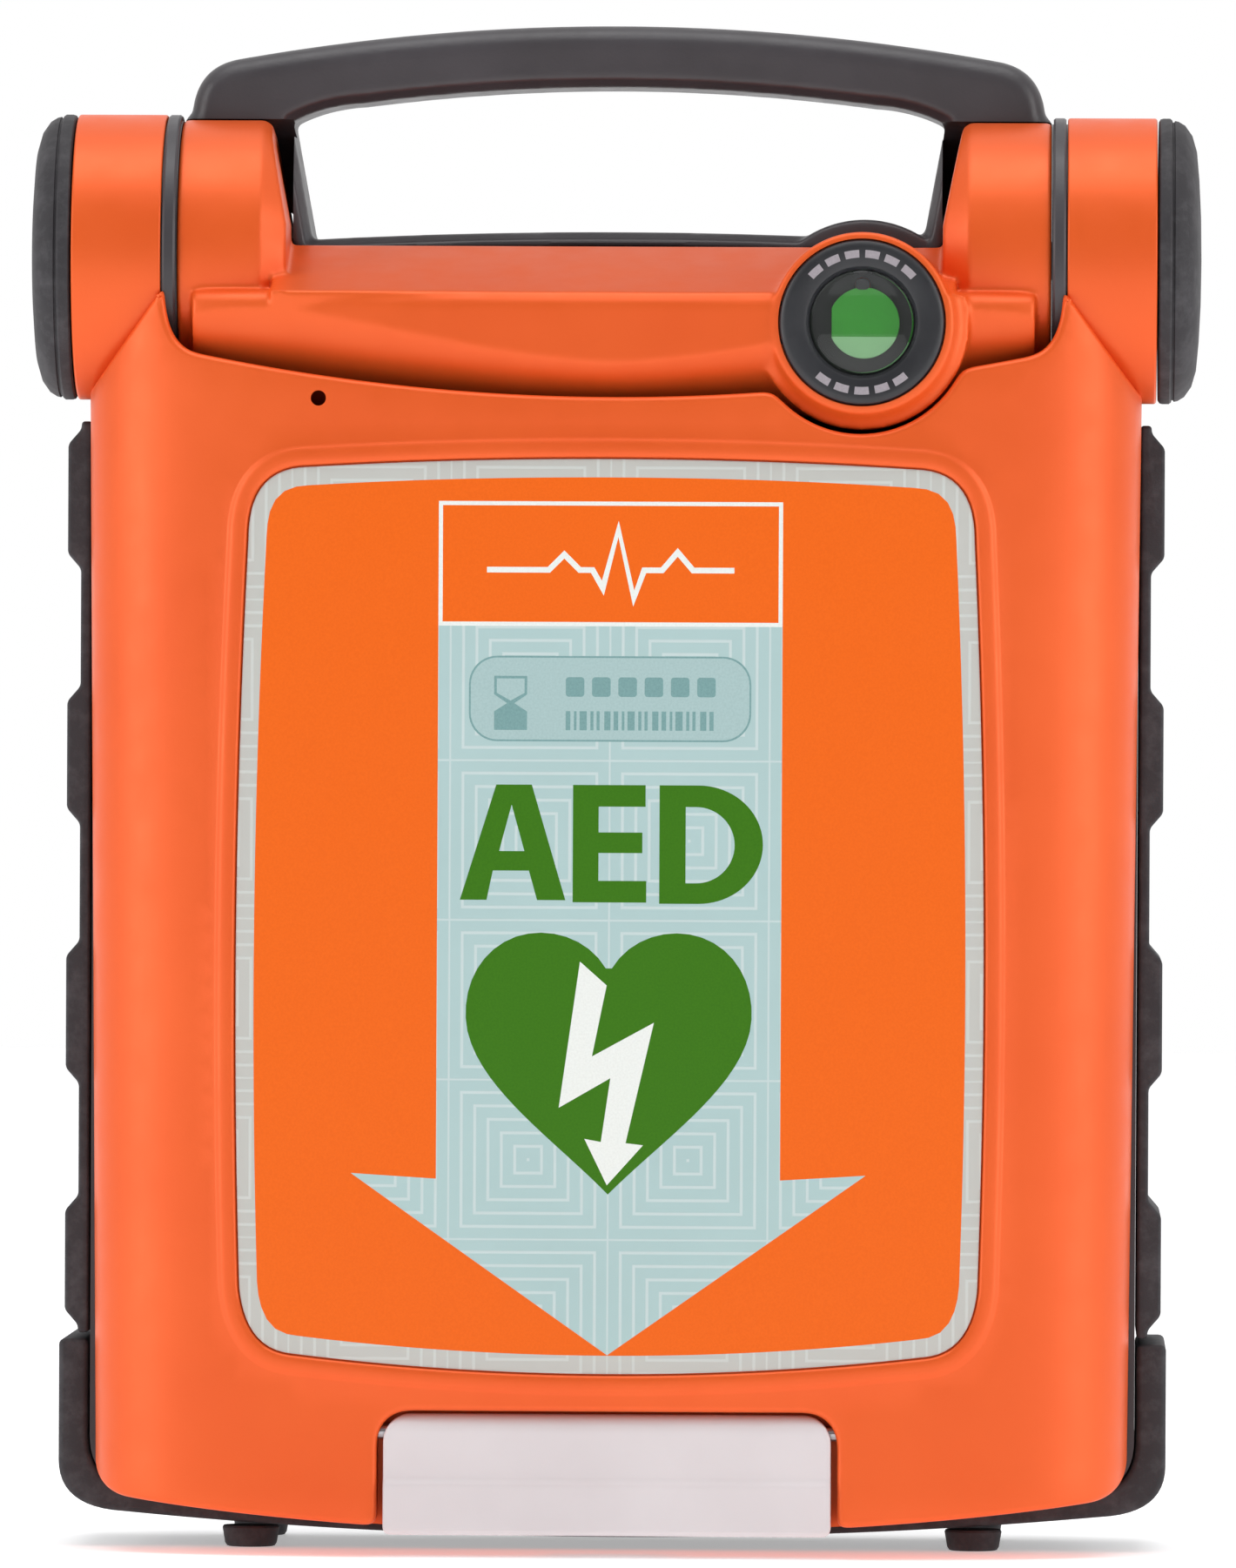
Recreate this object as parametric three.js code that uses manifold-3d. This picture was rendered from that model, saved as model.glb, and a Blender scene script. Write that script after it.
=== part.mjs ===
// A lidded, carry-handled automated external defibrillator.
// Millimetres. +X is the viewer's right when facing the lid, the lid faces -Y, +Z is up.
// The origin is at the centre of the footprint, on the surface that the feet stand on.
import * as THREE from "three";
import { mergeVertices } from "three/addons/utils/BufferGeometryUtils.js";
import Module from "manifold-3d";

const wasm = await Module();
wasm.setup();

// General
const GAP = 0.3; // clearance between neighbouring pieces
const WALL = 2.8; // moulded wall thickness
const THROUGH = 2; // how far a cutting tool runs past the face it cuts

// Depth stations
const LID_FRONT_Y = -45;
const PARTING_Y = -12; // back rim of the lid
const BACK_Y = 45; // rear face of the housing
const BEFORE_LID_Y = LID_FRONT_Y - 5; // where tools that cut from the front start

// Hinge barrel
const AXIS_Y = -8;
const AXIS_Z = 253.3;
const OUTER_BARREL_R = 28;
const INNER_BARREL_R = 27;
const INNER_BARREL_X0 = 64;
const INNER_BARREL_X1 = 85.2;
const OUTER_BARREL_X0 = 88.3;
const OUTER_BARREL_X1 = 105.8;
const CAP_X = 114.6;
const PIN_R = 3.7;
const BUSH_R = 6;

// Lid
const LID_HALF_W = 103;
const LID_POWER = 3.2; // superellipse exponent of the lid's plan
const LID_STEPS = 24;
const LID_TOP_MID_Z = 225.6;
const LID_TOP_END_Z = 233.8;
const LID_TOP_END_X = 81;
const EAR_TOP_Z = 247;
const EAR_LOW_Z = 227;
const LID_FOOT_END_Z = 10.8;
const LID_FOOT_END_X = 95;
const LID_FOOT_MID_Z = 4.8;
const LINER_T = 1.5;
const LABEL_T = 0.7;
const MIC_X = -57;
const MIC_Z = 225.7;
const MIC_R = 1.5;
const SCOOP_R = 22; // cut-out in the lid's top edge round the indicator
const RECESS_BLOCK_HALF_W = 50; // material left in the lid's hollow behind the latch recess
const RECESS_BLOCK_TOP_Z = 33;
const FINGER_SLOT_HALF_W = 12;
const FINGER_SLOT_TOP_Z = 10.2;

// Label
const LABEL_HALF_W = 73;
const LABEL_TOP_Z = 213.6;
const LABEL_FOOT_Z = 35.9;
const LABEL_CORNER_R = 12;
const WINDOW_HALF_W = 27.4;
const WINDOW_Z0 = 158.7;
const WINDOW_Z1 = 175.3;

// Housing
const HOUSING_HALF_W = 102.5;
const HOUSING_TOP_Z = 238;
const HOUSING_MID_TOP_Z = 253.4;
const TOWER_X0 = 67;
const TOWER_X1 = 84.8;
const TOWER_TOP_Z = 276;
const CAVITY_TOP_Z = 221;
const UPPER_ROOM_HALF_W = 58;
const TOWER_LOW_Z = 200;
const SCREW_X = 88;
const SCREW_LOW_Z = 34;
const SCREW_HIGH_Z = 206;
const SCREW_HEAD_R = 4.2;
const GRIP_BACK_Y = 34;
const BUMPER_BACK_Y = 38;
const FOOT_X = 71;
const FOOT_H = 4.1;

// Orange front of the housing: a bowed bar with a sloping ledge above it
const BAR_HALF_W = 82;
const BAR_TOP_Z = 246.3;
const BAR_LOW_Z = 222.5;
const BAR_INSET = 1.8; // how far the bar's face lies inside the lid's plan
const LEDGE_HALF_W = 65.5;
const LEDGE_TOP_Z = 255.7;
const TRAY_TOP_Z = 249.3; // above this level the front runs back over the tray
const BOSS_FRONT_Y = -42;

// Carry handle and its opening
const HANDLE_Y0 = -9.3;
const HANDLE_Y1 = 19;
const HANDLE_TOP_Z = 299.2;
const HANDLE_FOOT_X = 85.2;
const OPENING_TOP_X = 64.2;
const OPENING_TOP_Z = 280;
const OPENING_FOOT_X = 60;
const OPENING_FOOT_Z = 257;
const TRIM_W = 3.4;
const TRIM_T = 3;

// Status indicator
const LIGHT_X = 48.5;
const LIGHT_Z = 240.3;
const BOSS_R = 17.4;
const BEZEL_R = 16;
const LENS_R = 10;
const FLAG_R = 6.8;
const FLAG_PIVOT_Z = 247.3;
const CHAMBER_R = 14.3;

// Latch
const LATCH_HALF_W = 43.5;
const LATCH_PIN_Y = -40.5;
const LATCH_PIN_Z = 24.4;
const LATCH_END_R = 3.6;
const LATCH_PIN_R = 1.5;
const LATCH_PIN_HALF_L = 48.5;
const LATCH_FOOT_Z = 4.4;
const LATCH_STEP_Z = 14.1; // step between the lever's face and its pull lip
const LATCH_LIP = 0.9;
const FINGER_TIP_Y = -29.5;
const FINGER_HALF_W = 10;
const FINGER_Z0 = 8.1;
const FINGER_Z1 = 9.3;
const SPRING_X0 = 16;
const SPRING_X1 = 24;
const RECESS_FLOOR_Y = -36.4;

// Control deck
const DECK_Y0 = -12;
const DECK_Y1 = -9.6;
const SHOCK_X = 62;
const SHOCK_Z = 190;
const SHOCK_R = 16;
const LANGUAGE_X = 32;
const LANGUAGE_Z = 190;
const LANGUAGE_R = 5;
const SPEAKER_X = 68;
const SPEAKER_Z = 128;
const SPEAKER_R = 17;
const SOCKET_X = 68;
const SOCKET_Z = 76;

// Battery
const BATTERY_HALF_W = 42;
const BATTERY_Z0 = 26;
const BATTERY_Z1 = 106;
const BATTERY_Y0 = 12;

const LOOKS = {
  orange: { color: 0xe2612d, roughness: 0.42, metalness: 0.1 },
  charcoal: { color: 0x4a484a, roughness: 0.6, metalness: 0 },
  rubber: { color: 0x3b3a3c, roughness: 0.85, metalness: 0 },
  label: { color: 0xe26822, roughness: 0.3, metalness: 0 },
  pale: { color: 0xd6d2d3, roughness: 0.5, metalness: 0 },
  clear: { color: 0xc4d4d2, roughness: 0.08, metalness: 0 },
  green: { color: 0x309825, roughness: 0.5, metalness: 0 },
  red: { color: 0xb92420, roughness: 0.35, metalness: 0 },
  steel: { color: 0xb4b6b8, roughness: 0.3, metalness: 1 },
  board: { color: 0x1d5a36, roughness: 0.5, metalness: 0.1 },
  dark: { color: 0x232427, roughness: 0.45, metalness: 0.1 },
  foil: { color: 0xc9cdd2, roughness: 0.4, metalness: 0.3 },
};

// ---------- solids ----------

// A closed three.js geometry as a solid that can be joined and cut.
function solid(geometry) {
  const plain = geometry.clone();
  plain.deleteAttribute("normal");
  plain.deleteAttribute("uv");
  const merged = mergeVertices(plain, 1e-4);
  const mesh = new wasm.Mesh({
    numProp: 3,
    vertProperties: merged.attributes.position.array,
    triVerts: new Uint32Array(merged.index.array),
  });
  return new wasm.Manifold(mesh);
}

function geometryOf(body) {
  const mesh = body.getMesh();
  const geometry = new THREE.BufferGeometry();
  geometry.setAttribute("position", new THREE.BufferAttribute(mesh.vertProperties, 3));
  geometry.setIndex(new THREE.BufferAttribute(mesh.triVerts, 1));
  geometry.computeVertexNormals();
  return geometry;
}

function box(x0, x1, y0, y1, z0, z1) {
  const geometry = new THREE.BoxGeometry(x1 - x0, y1 - y0, z1 - z0);
  geometry.translate((x0 + x1) / 2, (y0 + y1) / 2, (z0 + z1) / 2);
  return solid(geometry);
}

function alongX(radius, x0, x1, y, z, sides = 36) {
  const geometry = new THREE.CylinderGeometry(radius, radius, x1 - x0, sides);
  geometry.rotateZ(Math.PI / 2);
  geometry.translate((x0 + x1) / 2, y, z);
  return solid(geometry);
}

function alongY(radius, y0, y1, x, z, sides = 24) {
  const geometry = new THREE.CylinderGeometry(radius, radius, y1 - y0, sides);
  geometry.translate(x, (y0 + y1) / 2, z);
  return solid(geometry);
}

// An outline in X and Z with its thickness along Y, its front and back edges rounded by bevel.
function slab(shape, y0, y1, bevel = 0) {
  const geometry = new THREE.ExtrudeGeometry(shape, {
    depth: y1 - y0 - 2 * bevel,
    bevelEnabled: bevel > 0,
    bevelSize: bevel,
    bevelThickness: bevel,
    bevelOffset: -bevel,
    bevelSegments: 2,
    curveSegments: 5,
  });
  geometry.rotateX(Math.PI / 2);
  geometry.translate(0, y1 - bevel, 0);
  return solid(geometry);
}

// An outline in X and Y, raised from z0 to z1.
function column(shape, z0, z1) {
  const geometry = new THREE.ExtrudeGeometry(shape, { depth: z1 - z0, bevelEnabled: false });
  geometry.translate(0, 0, z0);
  return solid(geometry);
}

// An outline in Y and Z, drawn out along X.
function beam(shape, x0, x1) {
  const geometry = new THREE.ExtrudeGeometry(shape, { depth: x1 - x0, bevelEnabled: false });
  const turn = new THREE.Matrix4();
  turn.makeBasis(
    new THREE.Vector3(0, 1, 0),
    new THREE.Vector3(0, 0, 1),
    new THREE.Vector3(1, 0, 0),
  );
  geometry.applyMatrix4(turn);
  geometry.translate(x0, 0, 0);
  return solid(geometry);
}

// A profile of [radius, distance along +X] pairs, turned about the X axis.
function turned(profile, sides = 36) {
  const points = profile.map(([radius, along]) => new THREE.Vector2(radius, along));
  const geometry = new THREE.LatheGeometry(points, sides);
  geometry.rotateZ(-Math.PI / 2);
  return geometry;
}

function outline(points) {
  const shape = new THREE.Shape();
  points.forEach(([u, v], index) => (index ? shape.lineTo(u, v) : shape.moveTo(u, v)));
  return shape;
}

// A rectangle with round corners.
function roundedBox(u0, u1, v0, v1, radius) {
  const shape = new THREE.Shape();
  shape.moveTo(u0 + radius, v0);
  shape.lineTo(u1 - radius, v0);
  shape.absarc(u1 - radius, v0 + radius, radius, -Math.PI / 2, 0);
  shape.lineTo(u1, v1 - radius);
  shape.absarc(u1 - radius, v1 - radius, radius, 0, Math.PI / 2);
  shape.lineTo(u0 + radius, v1);
  shape.absarc(u0 + radius, v1 - radius, radius, Math.PI / 2, Math.PI);
  shape.lineTo(u0, v0 + radius);
  shape.absarc(u0 + radius, v0 + radius, radius, Math.PI, 1.5 * Math.PI);
  return shape;
}

// ---------- the scene graph ----------

const root = new THREE.Group();
const base = new THREE.Group();
const lid = new THREE.Group();
root.add(base, lid);

function addMesh(group, name, look, geometry) {
  const mesh = new THREE.Mesh(geometry, new THREE.MeshStandardMaterial(LOOKS[look]));
  mesh.name = name;
  group.add(mesh);
  return mesh;
}

function add(group, name, look, body) {
  return addMesh(group, name, look, geometryOf(body));
}

// A piece drawn for the right-hand end of the hinge axis, placed at both ends.
function addAtBothEnds(group, name, look, geometry) {
  for (const [side, turn] of [["right", 0], ["left", Math.PI]]) {
    const mesh = addMesh(group, `${name}_${side}`, look, geometry);
    mesh.position.set(0, AXIS_Y, AXIS_Z);
    mesh.rotation.z = turn;
  }
}

// ---------- lid ----------

// The lid's plan: a flat-fronted superellipse, drawn inwards by inset and closed at backY.
function lidPlan(inset, backY) {
  const halfW = LID_HALF_W - inset;
  const depth = PARTING_Y - LID_FRONT_Y - inset;
  const points = [[halfW, backY]];
  for (let i = 0; i <= LID_STEPS; i++) {
    const angle = (Math.PI * i) / LID_STEPS;
    const x = Math.sign(Math.cos(angle)) * Math.abs(Math.cos(angle)) ** (2 / LID_POWER);
    const y = Math.abs(Math.sin(angle)) ** (2 / LID_POWER);
    points.push([halfW * x, PARTING_Y - depth * y]);
  }
  points.push([-halfW, backY]);
  return outline(points);
}

function lidCore(inset) {
  return column(lidPlan(inset, PARTING_Y + THROUGH), 0, EAR_TOP_Z + 10);
}

// The lid seen from the front: bowed foot, sides drawn in slightly, dipped top edge between two ears.
function lidOutline() {
  const shape = new THREE.Shape();
  const corner = 7;
  const footTaper = 2;
  const dip = 2 * LID_TOP_MID_Z - LID_TOP_END_Z;
  const bow = 2 * LID_FOOT_MID_Z - LID_FOOT_END_Z;
  const earX = OUTER_BARREL_X0;
  const halfW = LID_HALF_W;
  const footW = halfW - footTaper;
  shape.moveTo(-LID_FOOT_END_X, LID_FOOT_END_Z);
  shape.quadraticCurveTo(0, bow, LID_FOOT_END_X, LID_FOOT_END_Z);
  shape.quadraticCurveTo(footW, LID_FOOT_END_Z + 1, footW, LID_FOOT_END_Z + corner);
  shape.lineTo(halfW, EAR_LOW_Z);
  shape.lineTo(earX, EAR_TOP_Z);
  shape.quadraticCurveTo(earX, LID_TOP_END_Z + 1, LID_TOP_END_X, LID_TOP_END_Z);
  shape.quadraticCurveTo(0, dip, -LID_TOP_END_X, LID_TOP_END_Z);
  shape.quadraticCurveTo(-earX, LID_TOP_END_Z + 1, -earX, EAR_TOP_Z);
  shape.lineTo(-halfW, EAR_LOW_Z);
  shape.lineTo(-footW, LID_FOOT_END_Z + corner);
  shape.quadraticCurveTo(-footW, LID_FOOT_END_Z + 1, -LID_FOOT_END_X, LID_FOOT_END_Z);
  return shape;
}

// The lid's hollow seen from the front, below the hinge.
function lidCavityOutline() {
  const halfW = LID_HALF_W - 4;
  const footX = LID_FOOT_END_X - 3;
  const corner = 8;
  const foot = LID_FOOT_END_Z + WALL + 0.2;
  const top = LID_TOP_MID_Z - WALL;
  const shape = new THREE.Shape();
  shape.moveTo(-footX, foot);
  shape.quadraticCurveTo(0, 2 * (LID_FOOT_MID_Z + WALL) - foot, footX, foot);
  shape.quadraticCurveTo(halfW, foot, halfW, foot + corner);
  shape.lineTo(halfW, top);
  shape.lineTo(-halfW, top);
  shape.lineTo(-halfW, foot + corner);
  shape.quadraticCurveTo(-halfW, foot, -footX, foot);
  return shape;
}

// The label's outline, grown outwards by grow: bowed top and foot, sides a little fuller at mid height.
function labelOutline(grow) {
  const halfW = LABEL_HALF_W + grow;
  const top = LABEL_TOP_Z + grow;
  const foot = LABEL_FOOT_Z - grow;
  const taper = 2.4;
  const bow = 3.5;
  const r = LABEL_CORNER_R + grow;
  const shape = new THREE.Shape();
  shape.moveTo(-halfW + r, foot + bow);
  shape.quadraticCurveTo(0, foot - bow, halfW - r, foot + bow);
  shape.quadraticCurveTo(halfW - taper, foot + bow, halfW - taper / 2, foot + bow + r);
  shape.quadraticCurveTo(halfW + taper / 2, (top + foot) / 2, halfW - taper, top - bow - r);
  shape.quadraticCurveTo(halfW - taper, top - bow / 2, halfW - taper - r, top - bow / 2);
  shape.quadraticCurveTo(0, top + bow / 2, -halfW + taper + r, top - bow / 2);
  shape.quadraticCurveTo(-halfW + taper, top - bow / 2, -halfW + taper, top - bow - r);
  shape.quadraticCurveTo(-halfW - taper / 2, (top + foot) / 2, -halfW + taper / 2, foot + bow + r);
  shape.quadraticCurveTo(-halfW + taper, foot + bow, -halfW + r, foot + bow);
  return shape;
}

// One outer barrel: a cup open outwards, with a bore for the bush in its inner wall.
function outerBarrel(side) {
  const x0 = side * OUTER_BARREL_X0;
  const x1 = side * OUTER_BARREL_X1;
  const wallX = side * (OUTER_BARREL_X0 + WALL);
  const pastX = side * (OUTER_BARREL_X1 + THROUGH);
  const beforeX = side * (OUTER_BARREL_X0 - THROUGH);
  const span = (radius, a, b) => alongX(radius, Math.min(a, b), Math.max(a, b), AXIS_Y, AXIS_Z);
  return {
    skin: span(OUTER_BARREL_R, x0, x1),
    hollow: span(OUTER_BARREL_R - WALL, wallX, pastX).add(span(BUSH_R + GAP, beforeX, pastX)),
  };
}

function latchRecess() {
  const half = LATCH_HALF_W + 1.5;
  const top = LATCH_PIN_Z + LATCH_END_R + 0.6;
  const cornerR = 6;
  return slab(roundedBox(-half, half, -20, top, cornerR), BEFORE_LID_Y, RECESS_FLOOR_Y);
}

function buildLidShell() {
  const full = slab(lidOutline(), LID_FRONT_Y - 1, PARTING_Y).intersect(lidCore(0));
  const blockW = RECESS_BLOCK_HALF_W;
  const recessBack = box(-blockW, blockW, BEFORE_LID_Y, RECESS_FLOOR_Y + WALL, 0, RECESS_BLOCK_TOP_Z);
  const openTop = OUTER_BARREL_X0 - 0.1;
  const aboveLid = EAR_TOP_Z + 15;
  const cavity = slab(lidCavityOutline(), LID_FRONT_Y, PARTING_Y + 1)
    .add(box(-openTop, openTop, LID_FRONT_Y, PARTING_Y + 1, LABEL_TOP_Z, aboveLid))
    .intersect(lidCore(WALL))
    .subtract(recessBack);
  const right = outerBarrel(1);
  const left = outerBarrel(-1);
  const labelSeat = slab(labelOutline(GAP), BEFORE_LID_Y, PARTING_Y)
    .subtract(lidCore(LABEL_T + GAP));
  const indicatorScoop = alongY(SCOOP_R, BEFORE_LID_Y, PARTING_Y + 1, LIGHT_X, LIGHT_Z, 36);
  const microphone = alongY(MIC_R, BEFORE_LID_Y, PARTING_Y + 1, MIC_X, MIC_Z, 12);
  const pinEnd = LATCH_PIN_HALF_L + 0.5;
  const pinBore = alongX(LATCH_PIN_R + 0.1, -pinEnd, pinEnd, LATCH_PIN_Y, LATCH_PIN_Z, 12);
  const slotW = FINGER_SLOT_HALF_W;
  const fingerSlot = box(-slotW, slotW, RECESS_FLOOR_Y - 1, FINGER_TIP_Y + 2.5, 0, FINGER_SLOT_TOP_Z);
  return full
    .subtract(cavity)
    .add(right.skin)
    .add(left.skin)
    .subtract(right.hollow)
    .subtract(left.hollow)
    .subtract(labelSeat)
    .subtract(indicatorScoop)
    .subtract(microphone)
    .subtract(latchRecess())
    .subtract(pinBore)
    .subtract(fingerSlot);
}

function windowOpening(grow) {
  const half = WINDOW_HALF_W + grow;
  const shape = roundedBox(-half, half, WINDOW_Z0 - grow, WINDOW_Z1 + grow, 4);
  return slab(shape, BEFORE_LID_Y, PARTING_Y);
}

function labelSkin() {
  return lidCore(0.1).subtract(lidCore(LABEL_T));
}

function buildLabelPlate() {
  return slab(labelOutline(0), BEFORE_LID_Y, PARTING_Y - 10)
    .intersect(labelSkin())
    .subtract(windowOpening(GAP));
}

function buildDateWindow() {
  return windowOpening(0).intersect(labelSkin());
}

function buildLidLiner() {
  const shape = roundedBox(-88, 88, 36, 214, 10);
  const skin = lidCore(WALL + GAP).subtract(lidCore(WALL + GAP + LINER_T));
  return slab(shape, BEFORE_LID_Y, PARTING_Y - 8).intersect(skin);
}

function buildEndCap() {
  const x0 = OUTER_BARREL_X1 + GAP;
  const r = OUTER_BARREL_R;
  return turned([
    [0, x0],
    [r - 0.6, x0],
    [r, x0 + 1.2],
    [r, x0 + 2.6],
    [r - 1.6, x0 + 5.6],
    [r - 5, x0 + 7.4],
    [r - 12, CAP_X - 0.5],
    [0, CAP_X],
  ]);
}

function buildHingeBush() {
  const x0 = OUTER_BARREL_X0 + 0.1;
  const x1 = OUTER_BARREL_X0 + WALL + 3;
  return turned([
    [PIN_R + GAP, x0],
    [BUSH_R, x0],
    [BUSH_R, x1],
    [PIN_R + GAP, x1],
    [PIN_R + GAP, x0],
  ], 24);
}

function addLid() {
  add(lid, "lid_shell", "orange", buildLidShell());
  add(lid, "lid_liner", "charcoal", buildLidLiner());
  add(lid, "label_plate", "label", buildLabelPlate());
  add(lid, "date_window", "clear", buildDateWindow());
  addAtBothEnds(lid, "end_cap", "rubber", buildEndCap());
  addAtBothEnds(lid, "hinge_bush", "pale", buildHingeBush());
  add(lid, "lid_magnet", "steel", box(84, 91, -20, -16.5, 205, 215));
  for (const [side, x] of [["left", -70], ["right", 70]]) {
    const post = alongY(3, -31.5, -29, x, 26, 16);
    add(lid, `latch_screw_${side}`, "steel", post);
  }
}

// ---------- latch ----------

// The lever in Y and Z: a round end about its pin, a pull face with a step, and a finger pointing back.
function leverOutline() {
  const shape = new THREE.Shape();
  const front = LATCH_PIN_Y - LATCH_END_R;
  const back = LATCH_PIN_Y + LATCH_END_R;
  shape.moveTo(back, LATCH_PIN_Z);
  shape.absarc(LATCH_PIN_Y, LATCH_PIN_Z, LATCH_END_R, 0, Math.PI);
  shape.lineTo(front, LATCH_STEP_Z + 0.5);
  shape.lineTo(front - LATCH_LIP, LATCH_STEP_Z - 0.5);
  shape.lineTo(front - LATCH_LIP, LATCH_FOOT_Z + 1);
  shape.lineTo(front, LATCH_FOOT_Z);
  shape.lineTo(back - 1, LATCH_FOOT_Z);
  shape.lineTo(back, LATCH_FOOT_Z + 1);
  return shape;
}

function buildLatchLever() {
  const top = LATCH_PIN_Z + LATCH_END_R;
  const faceShape = roundedBox(-LATCH_HALF_W, LATCH_HALF_W, LATCH_FOOT_Z, top, 5);
  const face = slab(faceShape, BEFORE_LID_Y, FINGER_TIP_Y);
  const finger = box(-FINGER_HALF_W, FINGER_HALF_W, LATCH_PIN_Y, FINGER_TIP_Y, FINGER_Z0, FINGER_Z1);
  const notchY = LATCH_PIN_Y - 2.3;
  const springNotch = box(SPRING_X0 - 1, SPRING_X1 + 1, notchY, FINGER_TIP_Y, LATCH_PIN_Z - 5, top + THROUGH);
  return beam(leverOutline(), -LATCH_HALF_W, LATCH_HALF_W)
    .intersect(face)
    .add(finger)
    .subtract(alongX(LATCH_PIN_R + GAP, -50, 50, LATCH_PIN_Y, LATCH_PIN_Z, 16))
    .subtract(springNotch);
}

function buildLatchSpring() {
  const sleeve = alongX(LATCH_PIN_R + 0.6, SPRING_X0, SPRING_X1, LATCH_PIN_Y, LATCH_PIN_Z, 16);
  const bore = alongX(LATCH_PIN_R + GAP, SPRING_X0 - 1, SPRING_X1 + 1, LATCH_PIN_Y, LATCH_PIN_Z, 16);
  return sleeve.subtract(bore);
}

function addLatch() {
  const halfL = LATCH_PIN_HALF_L;
  add(lid, "latch_pin", "steel", alongX(LATCH_PIN_R, -halfL, halfL, LATCH_PIN_Y, LATCH_PIN_Z, 16));
  add(lid, "latch_lever", "pale", buildLatchLever());
  add(lid, "latch_spring", "steel", buildLatchSpring());
  const keeperZ = FINGER_Z1 + 1;
  add(base, "latch_keeper", "steel", box(-9, 9, FINGER_TIP_Y - 4, 6, keeperZ, keeperZ + 1.7));
}

// ---------- housing ----------

// The housing from the front: bowed foot, round shoulders, and a tower behind each fixed barrel.
function housingOutline(inset) {
  const w = HOUSING_HALF_W - inset;
  const top = HOUSING_TOP_Z - inset;
  const shape = new THREE.Shape();
  shape.moveTo(-92, 11.2 + inset);
  shape.quadraticCurveTo(0, 2.2 + inset, 92, 11.2 + inset);
  shape.quadraticCurveTo(w, 12 + inset, w, 22 + inset);
  shape.lineTo(w, top - 9);
  shape.absarc(w - 9, top - 9, 9, 0, Math.PI / 2);
  shape.lineTo(-w + 9, top);
  shape.absarc(-w + 9, top - 9, 9, Math.PI / 2, Math.PI);
  shape.lineTo(-w, 22 + inset);
  shape.quadraticCurveTo(-w, 12 + inset, -92, 11.2 + inset);
  return shape;
}

// Everything that turns or sits about the hinge axis, as one clearance tool.
function barrelClearance() {
  const fixed = alongX(INNER_BARREL_R + GAP, INNER_BARREL_X0 - GAP, INNER_BARREL_X1 + 1, AXIS_Y, AXIS_Z);
  const moving = alongX(OUTER_BARREL_R + 1, INNER_BARREL_X1 + GAP, CAP_X + 5, AXIS_Y, AXIS_Z);
  const oneSide = fixed.add(moving);
  return oneSide.add(oneSide.mirror([1, 0, 0]));
}

function towers() {
  const shape = roundedBox(TOWER_X0, TOWER_X1, TOWER_LOW_Z, TOWER_TOP_Z, 6);
  const tower = slab(shape, PARTING_Y + GAP, BACK_Y - 6, 3);
  return tower.add(tower.mirror([1, 0, 0]));
}

function batteryPocket(grow) {
  const half = BATTERY_HALF_W + grow;
  const y0 = BATTERY_Y0 - grow;
  return box(-half, half, y0, BACK_Y + THROUGH, BATTERY_Z0 - grow, BATTERY_Z1 + grow);
}

function buildRearHousing() {
  const frontY = PARTING_Y + GAP;
  const backInside = BACK_Y - WALL;
  const skin = slab(housingOutline(0), frontY - 8, BACK_Y, 6)
    .intersect(box(-200, 200, frontY, 100, -10, 400));
  const bridgeShape = roundedBox(-TOWER_X1, TOWER_X1, TOWER_LOW_Z, HOUSING_MID_TOP_Z, 5);
  const bridge = slab(bridgeShape, frontY, BACK_Y - 3, 2);
  const room = slab(housingOutline(WALL), frontY - 2, backInside)
    .intersect(box(-200, 200, -50, 100, 0, CAVITY_TOP_Z));
  const roomW = UPPER_ROOM_HALF_W;
  const roomTop = HOUSING_MID_TOP_Z - WALL;
  const upperRoom = box(-roomW, roomW, frontY - 2, backInside - 4, CAVITY_TOP_Z - 2, roomTop);
  const pocketWalls = batteryPocket(2 + GAP).intersect(box(-200, 200, -50, BACK_Y - 1, 0, 200));
  const seatW = LEDGE_HALF_W + 0.5;
  const ledgeSeat = box(-seatW, seatW, frontY - 2, HANDLE_Y0, TRAY_TOP_Z - GAP, TRAY_TOP_Z + 11);
  const screwHoles = [];
  for (const x of [-SCREW_X, SCREW_X])
    for (const z of [SCREW_LOW_Z, SCREW_HIGH_Z]) {
      const sink = alongY(SCREW_HEAD_R + 0.4, BACK_Y - 2.4, BACK_Y + 1, x, z, 24);
      screwHoles.push(sink.add(alongY(2.3, 20, BACK_Y, x, z, 16)));
    }
  return skin
    .add(bridge)
    .add(towers())
    .subtract(room.add(upperRoom))
    .add(pocketWalls)
    .subtract(batteryPocket(GAP))
    .subtract(barrelClearance())
    .subtract(ledgeSeat)
    .subtract(wasm.Manifold.union(screwHoles));
}

function sideGripOutline(side) {
  const inner = HOUSING_HALF_W + GAP;
  const low = 105;
  const high = 107.6;
  const ramp = 3;
  const points = [[inner, 42], [low, 42]];
  for (const [z0, z1] of [[43.5, 69], [91, 119], [142, 169], [192, 219.5]])
    points.push([low, z0], [high, z0 + ramp], [high, z1 - ramp], [low, z1]);
  points.push([low, 221], [inner, 221]);
  return outline(points.map(([x, z]) => [side * x, z]));
}

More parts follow.
